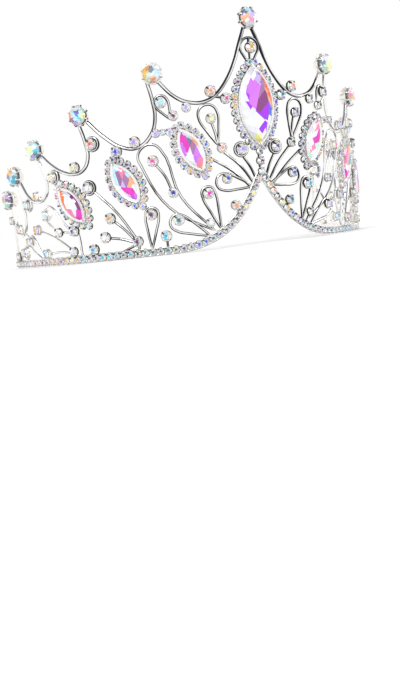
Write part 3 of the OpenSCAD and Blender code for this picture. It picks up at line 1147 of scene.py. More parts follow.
@dataclass
class BaseBand:
    """The band along the base, its two rails and the seats of the chain of small stones on it."""

    height: float = 3.4
    thickness: float = 1.8
    # Thickness of the strip between the rails, as a share of the band's
    strip: float = 0.7
    rail_radius: float = 0.42
    pitch: float = 3.0
    # Longest stretch of the flat run, and stretches between two points of the rise in front
    stretch: float = 8.0
    rise_parts: int = 2
    # Edges that turn by more than this many degrees stay sharp
    crease: float = 40.0
    path: list[Vector] = field(init=False)

    def __post_init__(self) -> None:
        """Works out the band's middle line, from the front to one end, in millimetres."""
        rise = [WALL.grid(*row) for row in BAND_RISE]
        bottom = self.height / 2
        start = rise[-1][0]
        count = math.ceil((WALL.half_arc - start) / self.stretch)
        flat = [(start + (WALL.half_arc - start) * k / count, bottom) for k in range(1, count + 1)]
        risen = [(along, max(up + bottom, bottom)) for along, up in smooth(rise, self.rise_parts)]
        self.path = [Vector(spot) for spot in risen + flat]

    def seats(self, side: Side) -> list[Seat]:
        """Seats of the chain's stones, a pitch apart on the band's face and turned along it.

        Args:
            side: The side of the crown.

        Returns:
            The seats, from the front to the end.
        """
        count = math.floor(length_of(self.path) / self.pitch) - 1
        seats = []
        for spot, run in spaced(self.path, [self.pitch * k for k in range(1, count + 1)]):
            slope = math.degrees(math.atan2(run.y, run.x))
            seats.append(Seat(side.value * spot.x, spot.y, -side.value * slope, self.thickness / 2))
        return seats

    def _beside(self, side: Side, number: int, shift: float, out: float = 0.0) -> Vector:
        """A place beside a point of the middle line.

        Args:
            side: The side of the crown.
            number: Number of the point.
            shift: Distance from it, square to the line and upwards.
            out: Distance in front of the wall's middle surface.

        Returns:
            The place in millimetres.
        """
        before = self.path[max(number - 1, 0)]
        after = self.path[min(number + 1, len(self.path) - 1)]
        run = (after - before).normalized()
        along, up = self.path[number] + shift * Vector((-run.y, run.x))
        return WALL.point(side.value * max(along, 0.0), up, out)

    def _rail(self, side: Side, shift: float) -> bpy.types.Object:
        """A wire along the band's face, shifted square to its middle line."""
        radius, out = self.rail_radius, self.thickness / 2 - self.rail_radius
        return Bench.wire([self._beside(side, k, shift, out) for k in range(len(self.path))], radius)

    def _strip(self, side: Side) -> bpy.types.Object:
        """The flat strip of one side, laid out as a grid and bent onto the wall.

        Args:
            side: The side of the crown.

        Returns:
            The strip, in millimetres.
        """
        stretches = len(self.path) - 1
        Bench.clear()
        bpy.ops.mesh.primitive_grid_add(x_subdivisions=stretches, y_subdivisions=2, size=2)
        piece = bpy.context.object
        half = self.height / 2 - self.rail_radius / 2
        for vertex in piece.data.vertices:
            number = round((vertex.co.x + 1) / 2 * stretches)
            vertex.co = self._beside(side, number, vertex.co.y * half)
        Bench.take(piece)
        bpy.ops.object.modifier_add(type="SOLIDIFY")
        piece.modifiers[-1].thickness = self.thickness * self.strip
        piece.modifiers[-1].offset = 0
        bpy.ops.object.modifier_apply(modifier=piece.modifiers[-1].name)
        Bench.mend_normals()
        Bench.polish(piece, self.crease)
        return piece

    def build(self, finish: bpy.types.Material) -> None:
        """Builds the band and its rails as one piece.

        Args:
            finish: The metal.
        """
        shift = self.height / 2 - self.rail_radius
        parts = [self._strip(side) for side in Side]
        parts += [self._rail(side, way * shift) for side in Side for way in (-1, 1)]
        piece = Bench.join(parts, "base_band")
        piece.data.transform(Matrix.Scale(MM, 4))
        Bench.hand_over_metal(piece, finish)


@dataclass
class PeakCups:
    """The conical cups of the eleven peak stones, with their bent claws."""

    stone: float = 7.0
    wall: float = 0.55
    depth: float = 3.4
    # How far the seats stand out of the wall's middle surface
    lift: float = 1.0
    parts: int = 24
    # The cone from its foot to its rim: radius as a share of the rim's, height as one of the depth
    cone: tuple[Point, ...] = (
        (0.44, -1.0), (0.5, -0.94), (0.62, -0.6), (0.84, -0.26), (0.95, -0.2), (1.0, -0.12), (1.0, -0.04),
        (0.95, 0.0),
    )
    # Width of the top edge as a share of the wall, and depth of the sunken seat
    edge: float = 0.8
    sink: float = 0.3
    claws: int = 8
    claw_radius: float = 0.33
    # Where a claw starts, as a share of its reach and of the depth, and its bend: reach and height
    claw_root: float = 0.72
    claw_bend: tuple[Point, ...] = ((0.0, -0.5), (0.08, 0.9), (-0.2, 1.6), (-0.65, 1.95))
    # How far round each claw the painted shade on its sides reaches
    claw_shade: float = 0.25
    # Heights of a band of painted shade round the cone's neck, as shares of the depth, and its strength
    shade_low: float = -0.7
    shade_high: float = -0.3
    shade_strength: float = 0.35
    # Edges that turn by more than this many degrees stay sharp
    crease: float = 50.0

    def _basket(self) -> bpy.types.Object:
        """The cone: foot, flared body, beaded rim and a sunken seat.

        Returns:
            The cone, with its seat's edge at Z = 0.
        """
        rim = self.stone / 2 + STONE_GAP + self.wall
        levels = [(ring(share * rim, self.parts), height * self.depth) for share, height in self.cone]
        piece = Bench.stack(levels)
        Bench.rim_top(piece, self.wall * self.edge, self.sink)
        Bench.polish(piece, self.crease)
        # Painted shade round the cone's neck
        Film().between(piece, self.shade_low * self.depth, self.shade_high * self.depth, self.shade_strength)
        return piece

    def _claw(self, turn: float) -> bpy.types.Object:
        """One claw, bent over the stone's edge.

        Args:
            turn: Its place round the cup, in degrees.

        Returns:
            The claw.
        """
        edge = self.stone / 2 + STONE_GAP + self.claw_radius
        profile = [(edge * self.claw_root, -self.depth * self.claw_root)]
        profile += [(edge + reach, height) for reach, height in self.claw_bend]
        piece = Bench.wire([Vector((reach, 0, height)) for reach, height in profile], self.claw_radius)
        piece.data.transform(Matrix.Rotation(math.radians(turn), 4, "Z"))
        Film().on_flat_wires(piece, self.claw_shade)
        return piece

    def build(self, finish: bpy.types.Material) -> None:
        """Builds all eleven cups as one piece.

        Args:
            finish: The metal.
        """
        claws = [self._claw(360 / self.claws * (k + 0.5)) for k in range(self.claws)]
        pattern = Bench.join([self._basket(), *claws], "peak_cup")
        copies = [Bench.copy(pattern, seat.raised(self.lift).matrix()) for seat in peak_seats()]
        Bench.discard(pattern)
        Bench.hand_over_metal(Bench.join(copies, "peak_cups"), finish)


@dataclass
class SmallCup:
    """A round cup with four prongs, modelled for a stone of 1 mm and copied at any size."""

    parts: int = 10
    wall: float = 0.075
    flare: float = 0.045
    # Radius of the foot as a share of the rim's, and height of the flare as one of the cup's
    foot: float = 0.86
    belly: float = 0.45
    # Heights above the seat's level where the flare ends, the rim starts and the rim ends
    skirt_top: float = 0.02
    rim_low: float = 0.05
    rim_top: float = 0.1
    # Bevel of the rim and width of its edge as shares of the wall, and depth of the sunken seat
    bevel: float = 0.4
    edge: float = 0.5
    sink: float = 0.05
    # Heights between which the cup is painted with shade, below its rim: the lower one as a share of the
    # cup's height
    shade_low: float = -0.6
    shade_high: float = 0.03
    # Half-width of a prong, its middle in walls outside the stone, its heights, lean and taper
    prong: float = 0.085
    prong_place: float = 0.6
    prong_low: float = -0.1
    prong_bend: float = 0.16
    prong_top: float = 0.34
    prong_lean: float = 0.13
    prong_taper: float = 0.7
    # Height up to which painted shade covers each prong, from 45 degrees round
    prong_shades: Row = (0.3, 1.0, 0.0, 0.0)

    def pattern(self, height: float) -> bpy.types.Object:
        """The cup with its prongs.

        Args:
            height: Height of the seat above the cup's foot, as a share of the stone.

        Returns:
            The pattern, with its seat at Z = 0.
        """
        rim = 0.5 + self.wall
        skirt = rim + self.flare
        levels = [
            (rim * self.foot, -height), (skirt, -height * self.belly), (skirt, self.skirt_top),
            (rim, self.rim_low), (rim - self.wall * self.bevel, self.rim_top),
        ]
        piece = Bench.stack([(ring(radius, self.parts), level) for radius, level in levels])
        Bench.rim_top(piece, self.wall * self.edge, self.sink)
        # Painted shade on the cup's skirt, below its rim
        Film().between(piece, height * self.shade_low, self.shade_high)
        prongs = [self._prong(45 + 90 * k, film) for k, film in enumerate(self.prong_shades)]
        return Bench.join([piece, *prongs], "small_cup")

    def _prong(self, turn: float, film: float) -> bpy.types.Object:
        """A tapered prong that leans in over the stone's edge.

        Args:
            turn: Its place round the cup, in degrees.
            film: Height up to which painted shade covers it.

        Returns:
            The prong.
        """
        half = self.prong
        base = 0.5 + self.wall * self.prong_place
        foot = [(base - half, -half), (base + half, -half), (base + half, half), (base - half, half)]
        tip = [(x - self.prong_lean, y * self.prong_taper) for x, y in foot]
        piece = Bench.stack([(foot, self.prong_low), (foot, self.prong_bend), (tip, self.prong_top)])
        piece.data.transform(Matrix.Rotation(math.radians(turn), 4, "Z"))
        # Painted shade on the prong, up to its height
        Film().between(piece, 2 * self.prong_low, film)
        return piece


@dataclass
class SmallCups:
    """Every small round cup: among the scrolls, on the scallops, in the haloes and on the chain."""

    scallop: float = 3.6
    accent: float = 3.3
    chain: float = 2.5
    halo: float = 2.4
    # How far the seats of the single cups stand out of the wall's middle surface
    seat: float = 1.2
    # Depths of the cups below their seats
    single_depth: float = 1.6
    chain_depth: float = 0.4
    halo_depth: float = 1.4

    def scrolls(self, side: Side, rows: list[SmallStone]) -> list[tuple[Seat, float]]:
        """Seats and diameters of stones among the scrolls."""
        return [(Seat.on_grid(row, side, out=self.seat), row[2] * self.accent) for row in rows]

    def scallops(self, side: Side) -> list[tuple[Seat, float]]:
        """Seats and diameters of the stones on the scallops."""
        return [(Seat.on_grid(row, side, out=self.seat), self.scallop) for row in SCALLOP_STONES]

    def _row(self, seats: list[tuple[Seat, float]], depth: float, name: str) -> bpy.types.Object:
        """Cups for one group of stones.

        Args:
            seats: Seat of each stone, and the stone's diameter.
            depth: Depth of the cups below their seats.
            name: Name of the piece.

        Returns:
            The piece.
        """
        pattern = SmallCup().pattern(depth / self.accent)
        copies = [Bench.copy(pattern, seat.matrix(size)) for seat, size in seats]
        Bench.discard(pattern)
        return Bench.join(copies, name)

    def build(self, finish: bpy.types.Material, band: BaseBand, ovals: Ovals) -> None:
        """Builds one piece of cups for each group.

        Args:
            finish: The metal.
            band: The band that the chain runs on.
            ovals: The pointed oval settings that the haloes run round.
        """
        scrolls = [place for side in Side for place in self.scrolls(side, ACCENTS)]
        scrolls += self.scrolls(Side.LEFT, FRONT_ACCENTS)
        scallops = [place for side in Side for place in self.scallops(side)]
        chain = [(seat, self.chain) for side in Side for seat in band.seats(side)]
        haloes = [(seat, self.halo) for seat in ovals.halo_seats()]
        groups = [
            (scrolls, self.single_depth, "scroll_cups"), (scallops, self.single_depth, "scallop_cups"),
            (chain, self.chain_depth, "chain_cups"), (haloes, self.halo_depth, "halo_cups"),
        ]
        for seats, depth, name in groups:
            Bench.hand_over_metal(self._row(seats, depth, name), finish)


@dataclass(frozen=True)
class OvalSize:
    """Length and width of a pointed oval stone."""

    length: float
    width: float

    def outline(self, grow: float, parts: int) -> list[Point]:
        """The stone's outline, moved outwards by a length."""
        return pointed_oval(self.length, self.width, grow, parts)


@dataclass
class Ovals:
    """Settings of the seven pointed oval stones: back plate, bezel, tip claws, and the haloes."""

    front: OvalSize = OvalSize(30.0, 14.0)
    side: OvalSize = OvalSize(17.6, 8.0)
    parts: int = 14
    # The back plate's thickness, its rim outside the bezel, and the slope of its edge
    plate: float = 1.6
    plate_rim: float = 0.5
    plate_edge: float = 0.3
    # The bezel's wall and height, its bevel, and how its lip turns in and down
    bezel: float = 0.42
    bezel_height: float = 1.5
    bezel_bevel: float = 0.2
    lip: float = 0.6
    lip_drop: float = 0.15
    # A claw's radius, its reach past the stone's tip, and its bend: reach and height above the bezel
    claw_radius: float = 0.42
    claw_reach: float = 0.6
    claw_foot: float = 0.2
    claw_shoulder: float = 0.75
    claw_bend: tuple[Point, ...] = ((-0.5, 0.25), (-1.5, 0.45))
    # The halo: pitch of its stones, distance of their middles from the stone, and their height
    halo_pitch: float = 3.05
    halo_shift: float = 1.85
    halo_lift: float = 0.15
    halo_parts: int = 60
    # Edges that turn by more than this many degrees stay sharp
    crease: float = 35.0

    def places(self) -> list[tuple[Seat, OvalSize]]:
        """The seven stones' seats at the wall's middle surface.

        Returns:
            Seat and size of each, in the order of their names.
        """
        found = [(Seat.on_grid(FRONT_OVAL, Side.LEFT), self.front)]
        for side in Side:
            found += [(Seat.on_grid(row, side, row[2]), self.side) for row in SIDE_OVALS]
        return found

    def _setting(self, size: OvalSize) -> bpy.types.Object:
        """Plate and bezel for one stone.

        Args:
            size: The stone's size.

        Returns:
            The setting, lying flat with the wall's middle surface at Z = 0.
        """
        front = self.plate / 2
        top = front + self.bezel_height
        rim = STONE_GAP + self.bezel
        levels = [
            (rim + self.plate_rim, -front), (rim + self.plate_rim, front - self.plate_edge), (rim, front),
            (rim, top - self.bezel_bevel), (STONE_GAP + self.bezel * self.lip, top),
            (STONE_GAP / 2, top - self.lip_drop),
        ]
        piece = Bench.stack([(size.outline(grow, self.parts), level) for grow, level in levels])
        Bench.rim_top(piece, 0, self.bezel_height - self.lip_drop)
        Bench.polish(piece, self.crease)
        return Bench.join([piece, *(self._tip_claw(size, way) for way in (-1, 1))], "oval_setting")

    def _tip_claw(self, size: OvalSize, way: int) -> bpy.types.Object:
        """The claw that folds over one tip of a stone.

        Args:
            size: The stone's size.
            way: 1 for the upper tip and -1 for the lower one.

        Returns:
            The claw.
        """
        reach = size.length / 2 + self.claw_reach
        height = self.plate / 2 + self.bezel_height
        profile = [(reach, self.claw_foot), (reach, height * self.claw_shoulder)]
        profile += [(reach + bend, height + rise) for bend, rise in self.claw_bend]
        return Bench.wire([Vector((0, way * y, z)) for y, z in profile], self.claw_radius)

    def halo_seats(self) -> list[Seat]:
        """Seats of the halo stones round all seven settings."""
        return [seat for place, size in self.places() for seat in self._halo(place, size)]

    def _halo(self, place: Seat, size: OvalSize) -> list[Seat]:
        """Seats of one halo, evenly spaced round its stone.

        Args:
            place: The stone's seat.
            size: The stone's size.

        Returns:
            The seats.
        """
        line = [Vector(spot) for spot in size.outline(self.halo_shift, self.halo_parts)]
        line.append(line[0])
        total = length_of(line)
        count = round(total / self.halo_pitch)
        turn = math.radians(place.tilt)
        seats: list[Seat] = []
        for (x, y), _ in spaced(line, [total * k / count for k in range(count)]):
            along = place.along + x * math.cos(turn) + y * math.sin(turn)
            up = place.up + y * math.cos(turn) - x * math.sin(turn)
            outwards = math.degrees(math.atan2(x / size.width**2, y / size.length**2))
            seats.append(Seat(along, up, place.tilt + outwards, self.plate / 2 + self.halo_lift))
        return seats

    def build(self, finish: bpy.types.Material) -> None:
        """Builds the seven settings as one piece.

        Args:
            finish: The metal.
        """
        patterns = {size: self._setting(size) for size in (self.front, self.side)}
        copies = [Bench.copy(patterns[size], seat.matrix()) for seat, size in self.places()]
        Bench.discard(*patterns.values())
        Bench.hand_over_metal(Bench.join(copies, "oval_settings"), finish)


# Flashes on the pointed oval stones, as they show from the front, with painted highlights and painted
# reflections of the lower facets among the coating's colours: the front one, then the right side's from the
# front to the end, then the left side's
OVAL_FLASHES: list[Flashes] = [
    {Tint.PEARL: [(0, 0.95), (-0.3, 0.78), (-0.78, 0.3), (-0.85, -0.05), (-0.4, -0.3), (-0.55, -0.45),
     (-0.1, -0.6), (0.12, -0.84), (0.5, -0.5), (0.86, -0.2), (0, -0.93)], Tint.LILAC: [(0.12, 0.7),
     (0.08, 0.5)], Tint.ORCHID: [(-0.28, 0.52), (-0.45, 0.28), (-0.2, 0.32), (-0.18, 0.08), (0.06, -0.04)],
     Tint.VIOLET: [(-0.55, 0.1), (0, -0.2), (0.3, -0.26), (0.18, -0.42), (0.18, -0.58)],
     Tint.MAUVE: [(0.34, 0.5), (0.2, 0.27)], Tint.PLUM: [(0.28, 0.08)], Tint.PEACH: [(0.55, 0.2),
     (0.92, 0.06)], Tint.SLATE: [(0.46, -0.04)], Tint.ORANGE: [(0.6, 0.55), (0.76, 0.3)],
     Tint.BLUE: [(0.6, -0.16)], Tint.LEMON: [(-0.12, -0.78)]},
    {Tint.MAGENTA: [(-0.3, 0.75), (-0.15, 0.35)], Tint.ORCHID: [(-0.6, 0.3), (0.35, -0.2), (0.1, -0.4)],
     Tint.SLATE: [(0.2, 0.3)], Tint.MAUVE: [(0.15, 0)], Tint.PEARL: [(-0.4, -0.2), (0.8, -0.2), (0.4, 0.7),
     (-0.5, -0.5)], Tint.PEACH: [(0.8, 0.2), (0.1, -0.88)], Tint.ROSE: [(0.1, -0.65)]},
    {Tint.ICE: [(-0.1, 0.8), (-0.6, 0.35), (0.8, 0.3)], Tint.MAUVE: [(0, 0.3), (0.25, 0)],
     Tint.ROSE: [(0.35, 0.3)], Tint.LILAC: [(-0.15, -0.05)], Tint.MAGENTA: [(-0.2, -0.3), (0.2, -0.5)],
     Tint.PEACH: [(0.6, -0.2)], Tint.PEARL: [(-0.7, -0.15), (0.6, -0.5), (-0.5, -0.5)],
     Tint.ORCHID: [(0, -0.85)]},
    {Tint.ORANGE: [(-0.2, 0.8), (-0.6, 0.3)], Tint.PEARL: [(0, 0.2), (0.3, 0.5), (0.1, -0.2), (0.5, -0.15)],
     Tint.PLUM: [(0.8, 0.2), (0.7, -0.3)], Tint.MAGENTA: [(0.2, -0.6), (0, -0.9)],
     Tint.ROSE: [(-0.6, -0.3)]},
    {Tint.ROSE: [(0, 0.7), (0, -0.35)], Tint.PEARL: [(-0.5, 0.3), (0.1, -0.6), (-0.6, -0.2)],
     Tint.MAGENTA: [(0.2, 0.2), (-0.1, -0.1)], Tint.MINT: [(0.6, 0), (0, -0.9)]},
    {Tint.PEACH: [(0, 0.7)], Tint.ROSE: [(-0.4, 0.2)], Tint.TEAL: [(0.3, 0.1)], Tint.PEARL: [(0, -0.3)],
     Tint.LEMON: [(0.5, -0.3)], Tint.MAGENTA: [(0, -0.8)]},
    {Tint.ICE: [(0, 0.7)], Tint.ORCHID: [(-0.4, 0.1)], Tint.PEARL: [(0.4, 0.2), (0.3, -0.6)],
     Tint.BLUE: [(0, -0.3)], Tint.ROSE: [(0, -0.9)]},
]
# Lines that score the tables of the pointed ovals, from place to place, as shares of their half
# width and half length. They stand for the edges of the lower facets, which show through
TABLE_LINES: list[Row] = [
    (-0.38, 0.66, 0.41, 0.63), (-0.72, 0.05, 0.0, -0.08), (0.41, 0.63, 0.05, 0.26), (0.05, 0.26, 0.0, -0.08),
    (0.27, -0.08, 0.82, 0.08), (0.46, 0.6, 0.85, 0.06), (-0.3, -0.1, 0.18, -0.66), (0.58, -0.25, 0.18, -0.66),
    (-0.02, -0.22, 0.64, -0.14), (-0.16, 0.62, -0.24, 0.0), (0.1, 0.2, 0.9, 0.3),
    (0.15, 0.5, 0.56, -0.06), (-0.6, 0.2, -0.1, 0.42),
]
# Flashes on the peak stones, with painted highlights among the coating's colours: the front one, then the
# right side's, then the left side's
PEAK_FLASHES: list[Flashes] = [
    {Tint.PEACH: [(-0.3, 0.1), (-0.8, -0.2)], Tint.LILAC: [(0.35, 0.3), (0.1, 0.1)], Tint.ICE: [(0, 0.75)],
     Tint.PEARL: [(0.7, 0), (0.2, -0.8), (-0.3, -0.4)], Tint.SLATE: [(-0.6, 0.5), (0.5, 0.6)],
     Tint.ROSE: [(0.1, -0.35)]},
    {Tint.SLATE: [(0, 0.3)], Tint.GOLD: [(-0.5, 0.4), (-0.7, -0.1)], Tint.ICE: [(0.45, 0)],
     Tint.MINT: [(-0.3, -0.3)], Tint.PEACH: [(0.1, -0.45)], Tint.PEARL: [(0.5, 0.6), (0.7, -0.5), (0.1, 0)]},
    {Tint.BLUE: [(0.1, 0.05)], Tint.INDIGO: [(0.2, 0.3)], Tint.ICE: [(-0.25, 0.1), (0, -0.35), (0.5, 0.1)],
     Tint.ORANGE: [(-0.7, 0.1)], Tint.PLUM: [(-0.6, -0.45)], Tint.LEMON: [(0.75, -0.15)],
     Tint.MINT: [(0.7, 0.35), (-0.5, 0.6)], Tint.PEARL: [(0, 0.75), (0.35, -0.7)], Tint.CYAN: [(0.4, -0.35)],
     Tint.LILAC: [(-0.1, -0.75)]},
    {Tint.LEMON: [(0, 0.1), (-0.3, -0.1), (0.25, 0.3)], Tint.MINT: [(0.1, -0.35), (-0.7, 0.1)],
     Tint.PEARL: [(-0.4, 0.65), (-0.4, -0.65)], Tint.ICE: [(0.3, 0.75), (0.75, 0.3)],
     Tint.CYAN: [(0.8, -0.05)], Tint.TEAL: [(0.65, -0.45)], Tint.LILAC: [(0.25, -0.75)]},
    {Tint.GOLD: [(-0.1, 0.4), (0.1, 0.75)], Tint.PEACH: [(0.3, 0.35)], Tint.SLATE: [(-0.2, 0)],
     Tint.LILAC: [(0.2, 0)], Tint.CYAN: [(0.05, -0.35), (0.55, -0.6)], Tint.ICE: [(0.35, -0.25),
     (0.75, 0.25), (0, -0.8)], Tint.TEAL: [(0.8, -0.1)], Tint.PEARL: [(-0.7, 0), (0.55, 0.6)]},
    {Tint.ROSE: [(0, 0.4)], Tint.SMOKE: [(0, 0)], Tint.GOLD: [(0.3, 0.05)], Tint.MINT: [(0, -0.4),
     (0.6, -0.5)], Tint.LILAC: [(0.7, 0.35)], Tint.PLUM: [(0.8, 0)], Tint.PEARL: [(0.2, 0.75), (-0.7, 0)],
     Tint.ICE: [(0.1, -0.75)]},
    {Tint.SLATE: [(-0.75, 0.1)], Tint.MINT: [(-0.6, -0.5), (-0.3, 0.1)], Tint.PEARL: [(-0.6, 0.55),
     (0.1, 0.4), (0.1, 0.8)], Tint.LEMON: [(0, 0), (0, -0.4), (0.6, 0)]},
    {Tint.ROSE: [(-0.75, 0.2), (0, 0.2)], Tint.GOLD: [(-0.75, -0.25), (0.4, -0.5)],
     Tint.PEARL: [(-0.5, 0.65), (-0.5, -0.65), (0.5, 0.2), (0, -0.7)], Tint.MAUVE: [(0.1, -0.2)]},
    {Tint.CYAN: [(0, 0.1)], Tint.PEARL: [(-0.5, 0.3), (0.3, 0.5)], Tint.PEACH: [(0.5, -0.2)],
     Tint.ICE: [(0, -0.7)]},
    {Tint.LILAC: [(0.1, 0.2)], Tint.LEMON: [(-0.5, -0.2)], Tint.PEARL: [(0.5, 0.4), (-0.4, 0.6)],
     Tint.ICE: [(0.2, -0.6)]},
    {Tint.GOLD: [(0, 0)], Tint.ICE: [(-0.5, 0.4)], Tint.ROSE: [(0.5, 0.3)], Tint.PEARL: [(0.1, -0.6)],
     Tint.LILAC: [(-0.6, -0.4)]},
]
# Tints at the hearts of the small stones on the chain and on the left side, and in the haloes
COOL_TINTS = [Tint.TEAL, Tint.BLUE, Tint.INDIGO, Tint.SLATE, Tint.SMOKE, Tint.CYAN, Tint.LILAC, Tint.SLATE]
WARM_TINTS = [Tint.GOLD, Tint.PLUM, Tint.MAUVE, Tint.LEMON, Tint.PEACH, Tint.SMOKE]
DEEP_TINTS = [
    Tint.INDIGO, Tint.PLUM, Tint.SMOKE, Tint.TEAL, Tint.GOLD, Tint.BLUE, Tint.MAUVE, Tint.SLATE, Tint.LILAC,
]
PALE_TINTS = [Tint.LEMON, Tint.GOLD, Tint.PEARL, Tint.MINT, Tint.PEARL, Tint.ROSE, Tint.TEAL, Tint.LEMON]


@dataclass
class SmallStones:
    """Round stones cut with a table, a ring of stars and a girdle, in every small cup."""

    parts: int = 8
    # For a stone of 1 mm: radius of its foot and its table, height of its girdle and its table, and
    # width of the ring of facets that the table's edge keeps
    foot: float = 0.46
    table: float = 0.29
    girdle: float = 0.1
    height: float = 0.34
    inset: float = 0.105
    # Share of white in the colours among the scrolls and on the chain and the haloes
    scroll_wash: float = 0.14
    row_wash: float = 0.1
    # Lengths from the front: warm tints on the chain up to one and past the other, pale haloes past one
    warm_front: float = 12.0
    warm_end: float = 78.0
    pale_end: float = 69.0
    seed: int = 11
    painter: Painter = field(init=False)

    def __post_init__(self) -> None:
        """Starts the colours' sequence."""
        self.painter = Painter(self.seed)

    def _pattern(self) -> bpy.types.Object:
        """A stone of 1 mm across.

        Returns:
            The stone, with its seat at Z = 0.
        """
        piece = Bench.stack([
            (ring(self.foot, self.parts), 0.0), (ring(0.5, self.parts), self.girdle),
            (ring(self.table, self.parts, 180 / self.parts), self.height),
        ])
        Bench.split_facets(piece, self.girdle)
        Bench.rim_top(piece, self.inset)
        return piece

    def _set(
        self, places: list[tuple[Seat, float]], tints: list[Tint], name: str, wash: float = 0.0
    ) -> bpy.types.Object:
        """Stones for one group.

        Args:
            places: Seat and diameter of each.
            tints: Tint of each.
            name: Name of the piece.
            wash: Share of white in their colours.

        Returns:
            The piece.
        """
        pattern = self._pattern()
        copies: list[bpy.types.Object] = []
        for (seat, size), tint in zip(places, tints):
            stone = Bench.copy(pattern, Matrix.Identity(4))
            self.painter.small(stone, tint, wash)
            stone.data.transform(seat.raised(STONE_GAP).matrix(size))
            copies.append(stone)
        Bench.discard(pattern)
        return Bench.join(copies, name)

    def _chances(self, choices: list[list[Tint]]) -> list[Tint]:
        """One tint from each of several lists."""
        return [self.painter.chance.choice(tints) for tints in choices]

    def _side(self, side: Side, cups: SmallCups, band: BaseBand) -> list[tuple[bpy.types.Object, str]]:
        """Builds the stones of one side, but for the haloes.

        Args:
            side: The side of the crown.
            cups: The cups that they sit in.
            band: The band of the chain.

        Returns:
            Each piece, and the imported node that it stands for.
        """
        word = side.word
        tints = [row[3] for row in ACCENTS]
        if side is Side.LEFT:
            tints = self._chances([[tint, *COOL_TINTS] for tint in tints])
        scrolls = self._set(cups.scrolls(side, ACCENTS), tints, f"{word}_scroll_stones", self.scroll_wash)
        found = [(scrolls, f"{word}_accent_stones")]
        for number, (place, row) in enumerate(zip(cups.scallops(side), SCALLOP_STONES), 1):
            piece = self._set([place], [row[2]], f"{word}_scallop_crystal_{number}")
            found.append((piece, f"{word}_scallop_stone_{number}"))
        places = [(seat, cups.chain) for seat in band.seats(side)]
        cool = [self.warm_front <= abs(seat.along) <= self.warm_end for seat, _ in places]
        tints = self._chances([COOL_TINTS if is_cool else WARM_TINTS for is_cool in cool])
        chain = self._set(places, tints, f"{word}_base_chain", self.row_wash)
        return [*found, (chain, f"{word}_chain_stones")]

    def build(self, finish: bpy.types.Material, cups: SmallCups, band: BaseBand, ovals: Ovals) -> None:
        """Builds the stones of every group.

        Args:
            finish: The crystal.
            cups: The cups that they sit in.
            band: The band of the chain.
            ovals: The settings of the haloes.
        """
        found = [entry for side in Side for entry in self._side(side, cups, band)]
        tints = [row[3] for row in FRONT_ACCENTS]
        front = self._set(cups.scrolls(Side.LEFT, FRONT_ACCENTS), tints, "front_scroll_stones")
        places = [(seat, cups.halo) for seat in ovals.halo_seats()]
        pale = [abs(seat.along) > self.pale_end for seat, _ in places]
        tints = self._chances([PALE_TINTS if is_pale else DEEP_TINTS for is_pale in pale])
        halo = self._set(places, tints, "halo_stones", self.row_wash)
        for piece, node in [*found, (front, "front_accent_stones"), (halo, "frame")]:
            Bench.hand_over(piece, finish, "small_crystal", [node])


@dataclass
class PeakStones:
    """The eleven round brilliants in the claws of the peaks."""

    parts: int = 16
    # From the foot up: radius as a share of the stone's, height as one of its diameter, turn in half facets
    cut: tuple[Row, ...] = ((0.9, 0.0, 0), (1.0, 0.13, 0), (1.0, 0.16, 0), (0.82, 0.28, 1), (0.55, 0.37, 0))
    # Height that the crown facets lie above, as a share of the diameter, and width of the table's
    # ring of facets, as a share of the radius
    girdle: float = 0.17
    star: float = 0.22
    # Share of white in the colours
    wash: float = 0.12
    seed: int = 23

    def _pattern(self, size: float) -> bpy.types.Object:
        """One brilliant: girdle, two rows of crown facets, and a table with a star in it.

        Args:
            size: Its diameter.

        Returns:
            The stone, with its seat at Z = 0.
        """
        half, step = size / 2, 180 / self.parts
        piece = Bench.stack([
            (ring(half * share, self.parts, step * turn), size * height) for share, height, turn in self.cut
        ])
        Bench.split_facets(piece, size * self.girdle)
        Bench.rim_top(piece, half * self.star)
        bpy.ops.object.mode_set(mode="EDIT")
        bpy.ops.mesh.poke()
        bpy.ops.object.mode_set(mode="OBJECT")
        return piece

    def build(self, finish: bpy.types.Material, cups: PeakCups) -> None:
        """Builds one piece for each peak.

        Args:
            finish: The crystal.
            cups: The cups that they sit in.
        """
        pattern = self._pattern(cups.stone)
        painter = Painter(self.seed)
        for node, seat, flashes in zip(numbered("tip_stone", len(PEAKS) - 1), peak_seats(), PEAK_FLASHES):
            stone = Bench.copy(pattern, Matrix.Identity(4))
            painter.large(stone, (cups.stone, cups.stone), flashes, self.wash)
            stone.data.transform(seat.raised(cups.lift + STONE_GAP).matrix())
            piece = Bench.join([stone], node.replace("tip_stone", "peak_crystal"))
            Bench.hand_over(piece, finish, "tip_crystal", [node])
        Bench.discard(pattern)


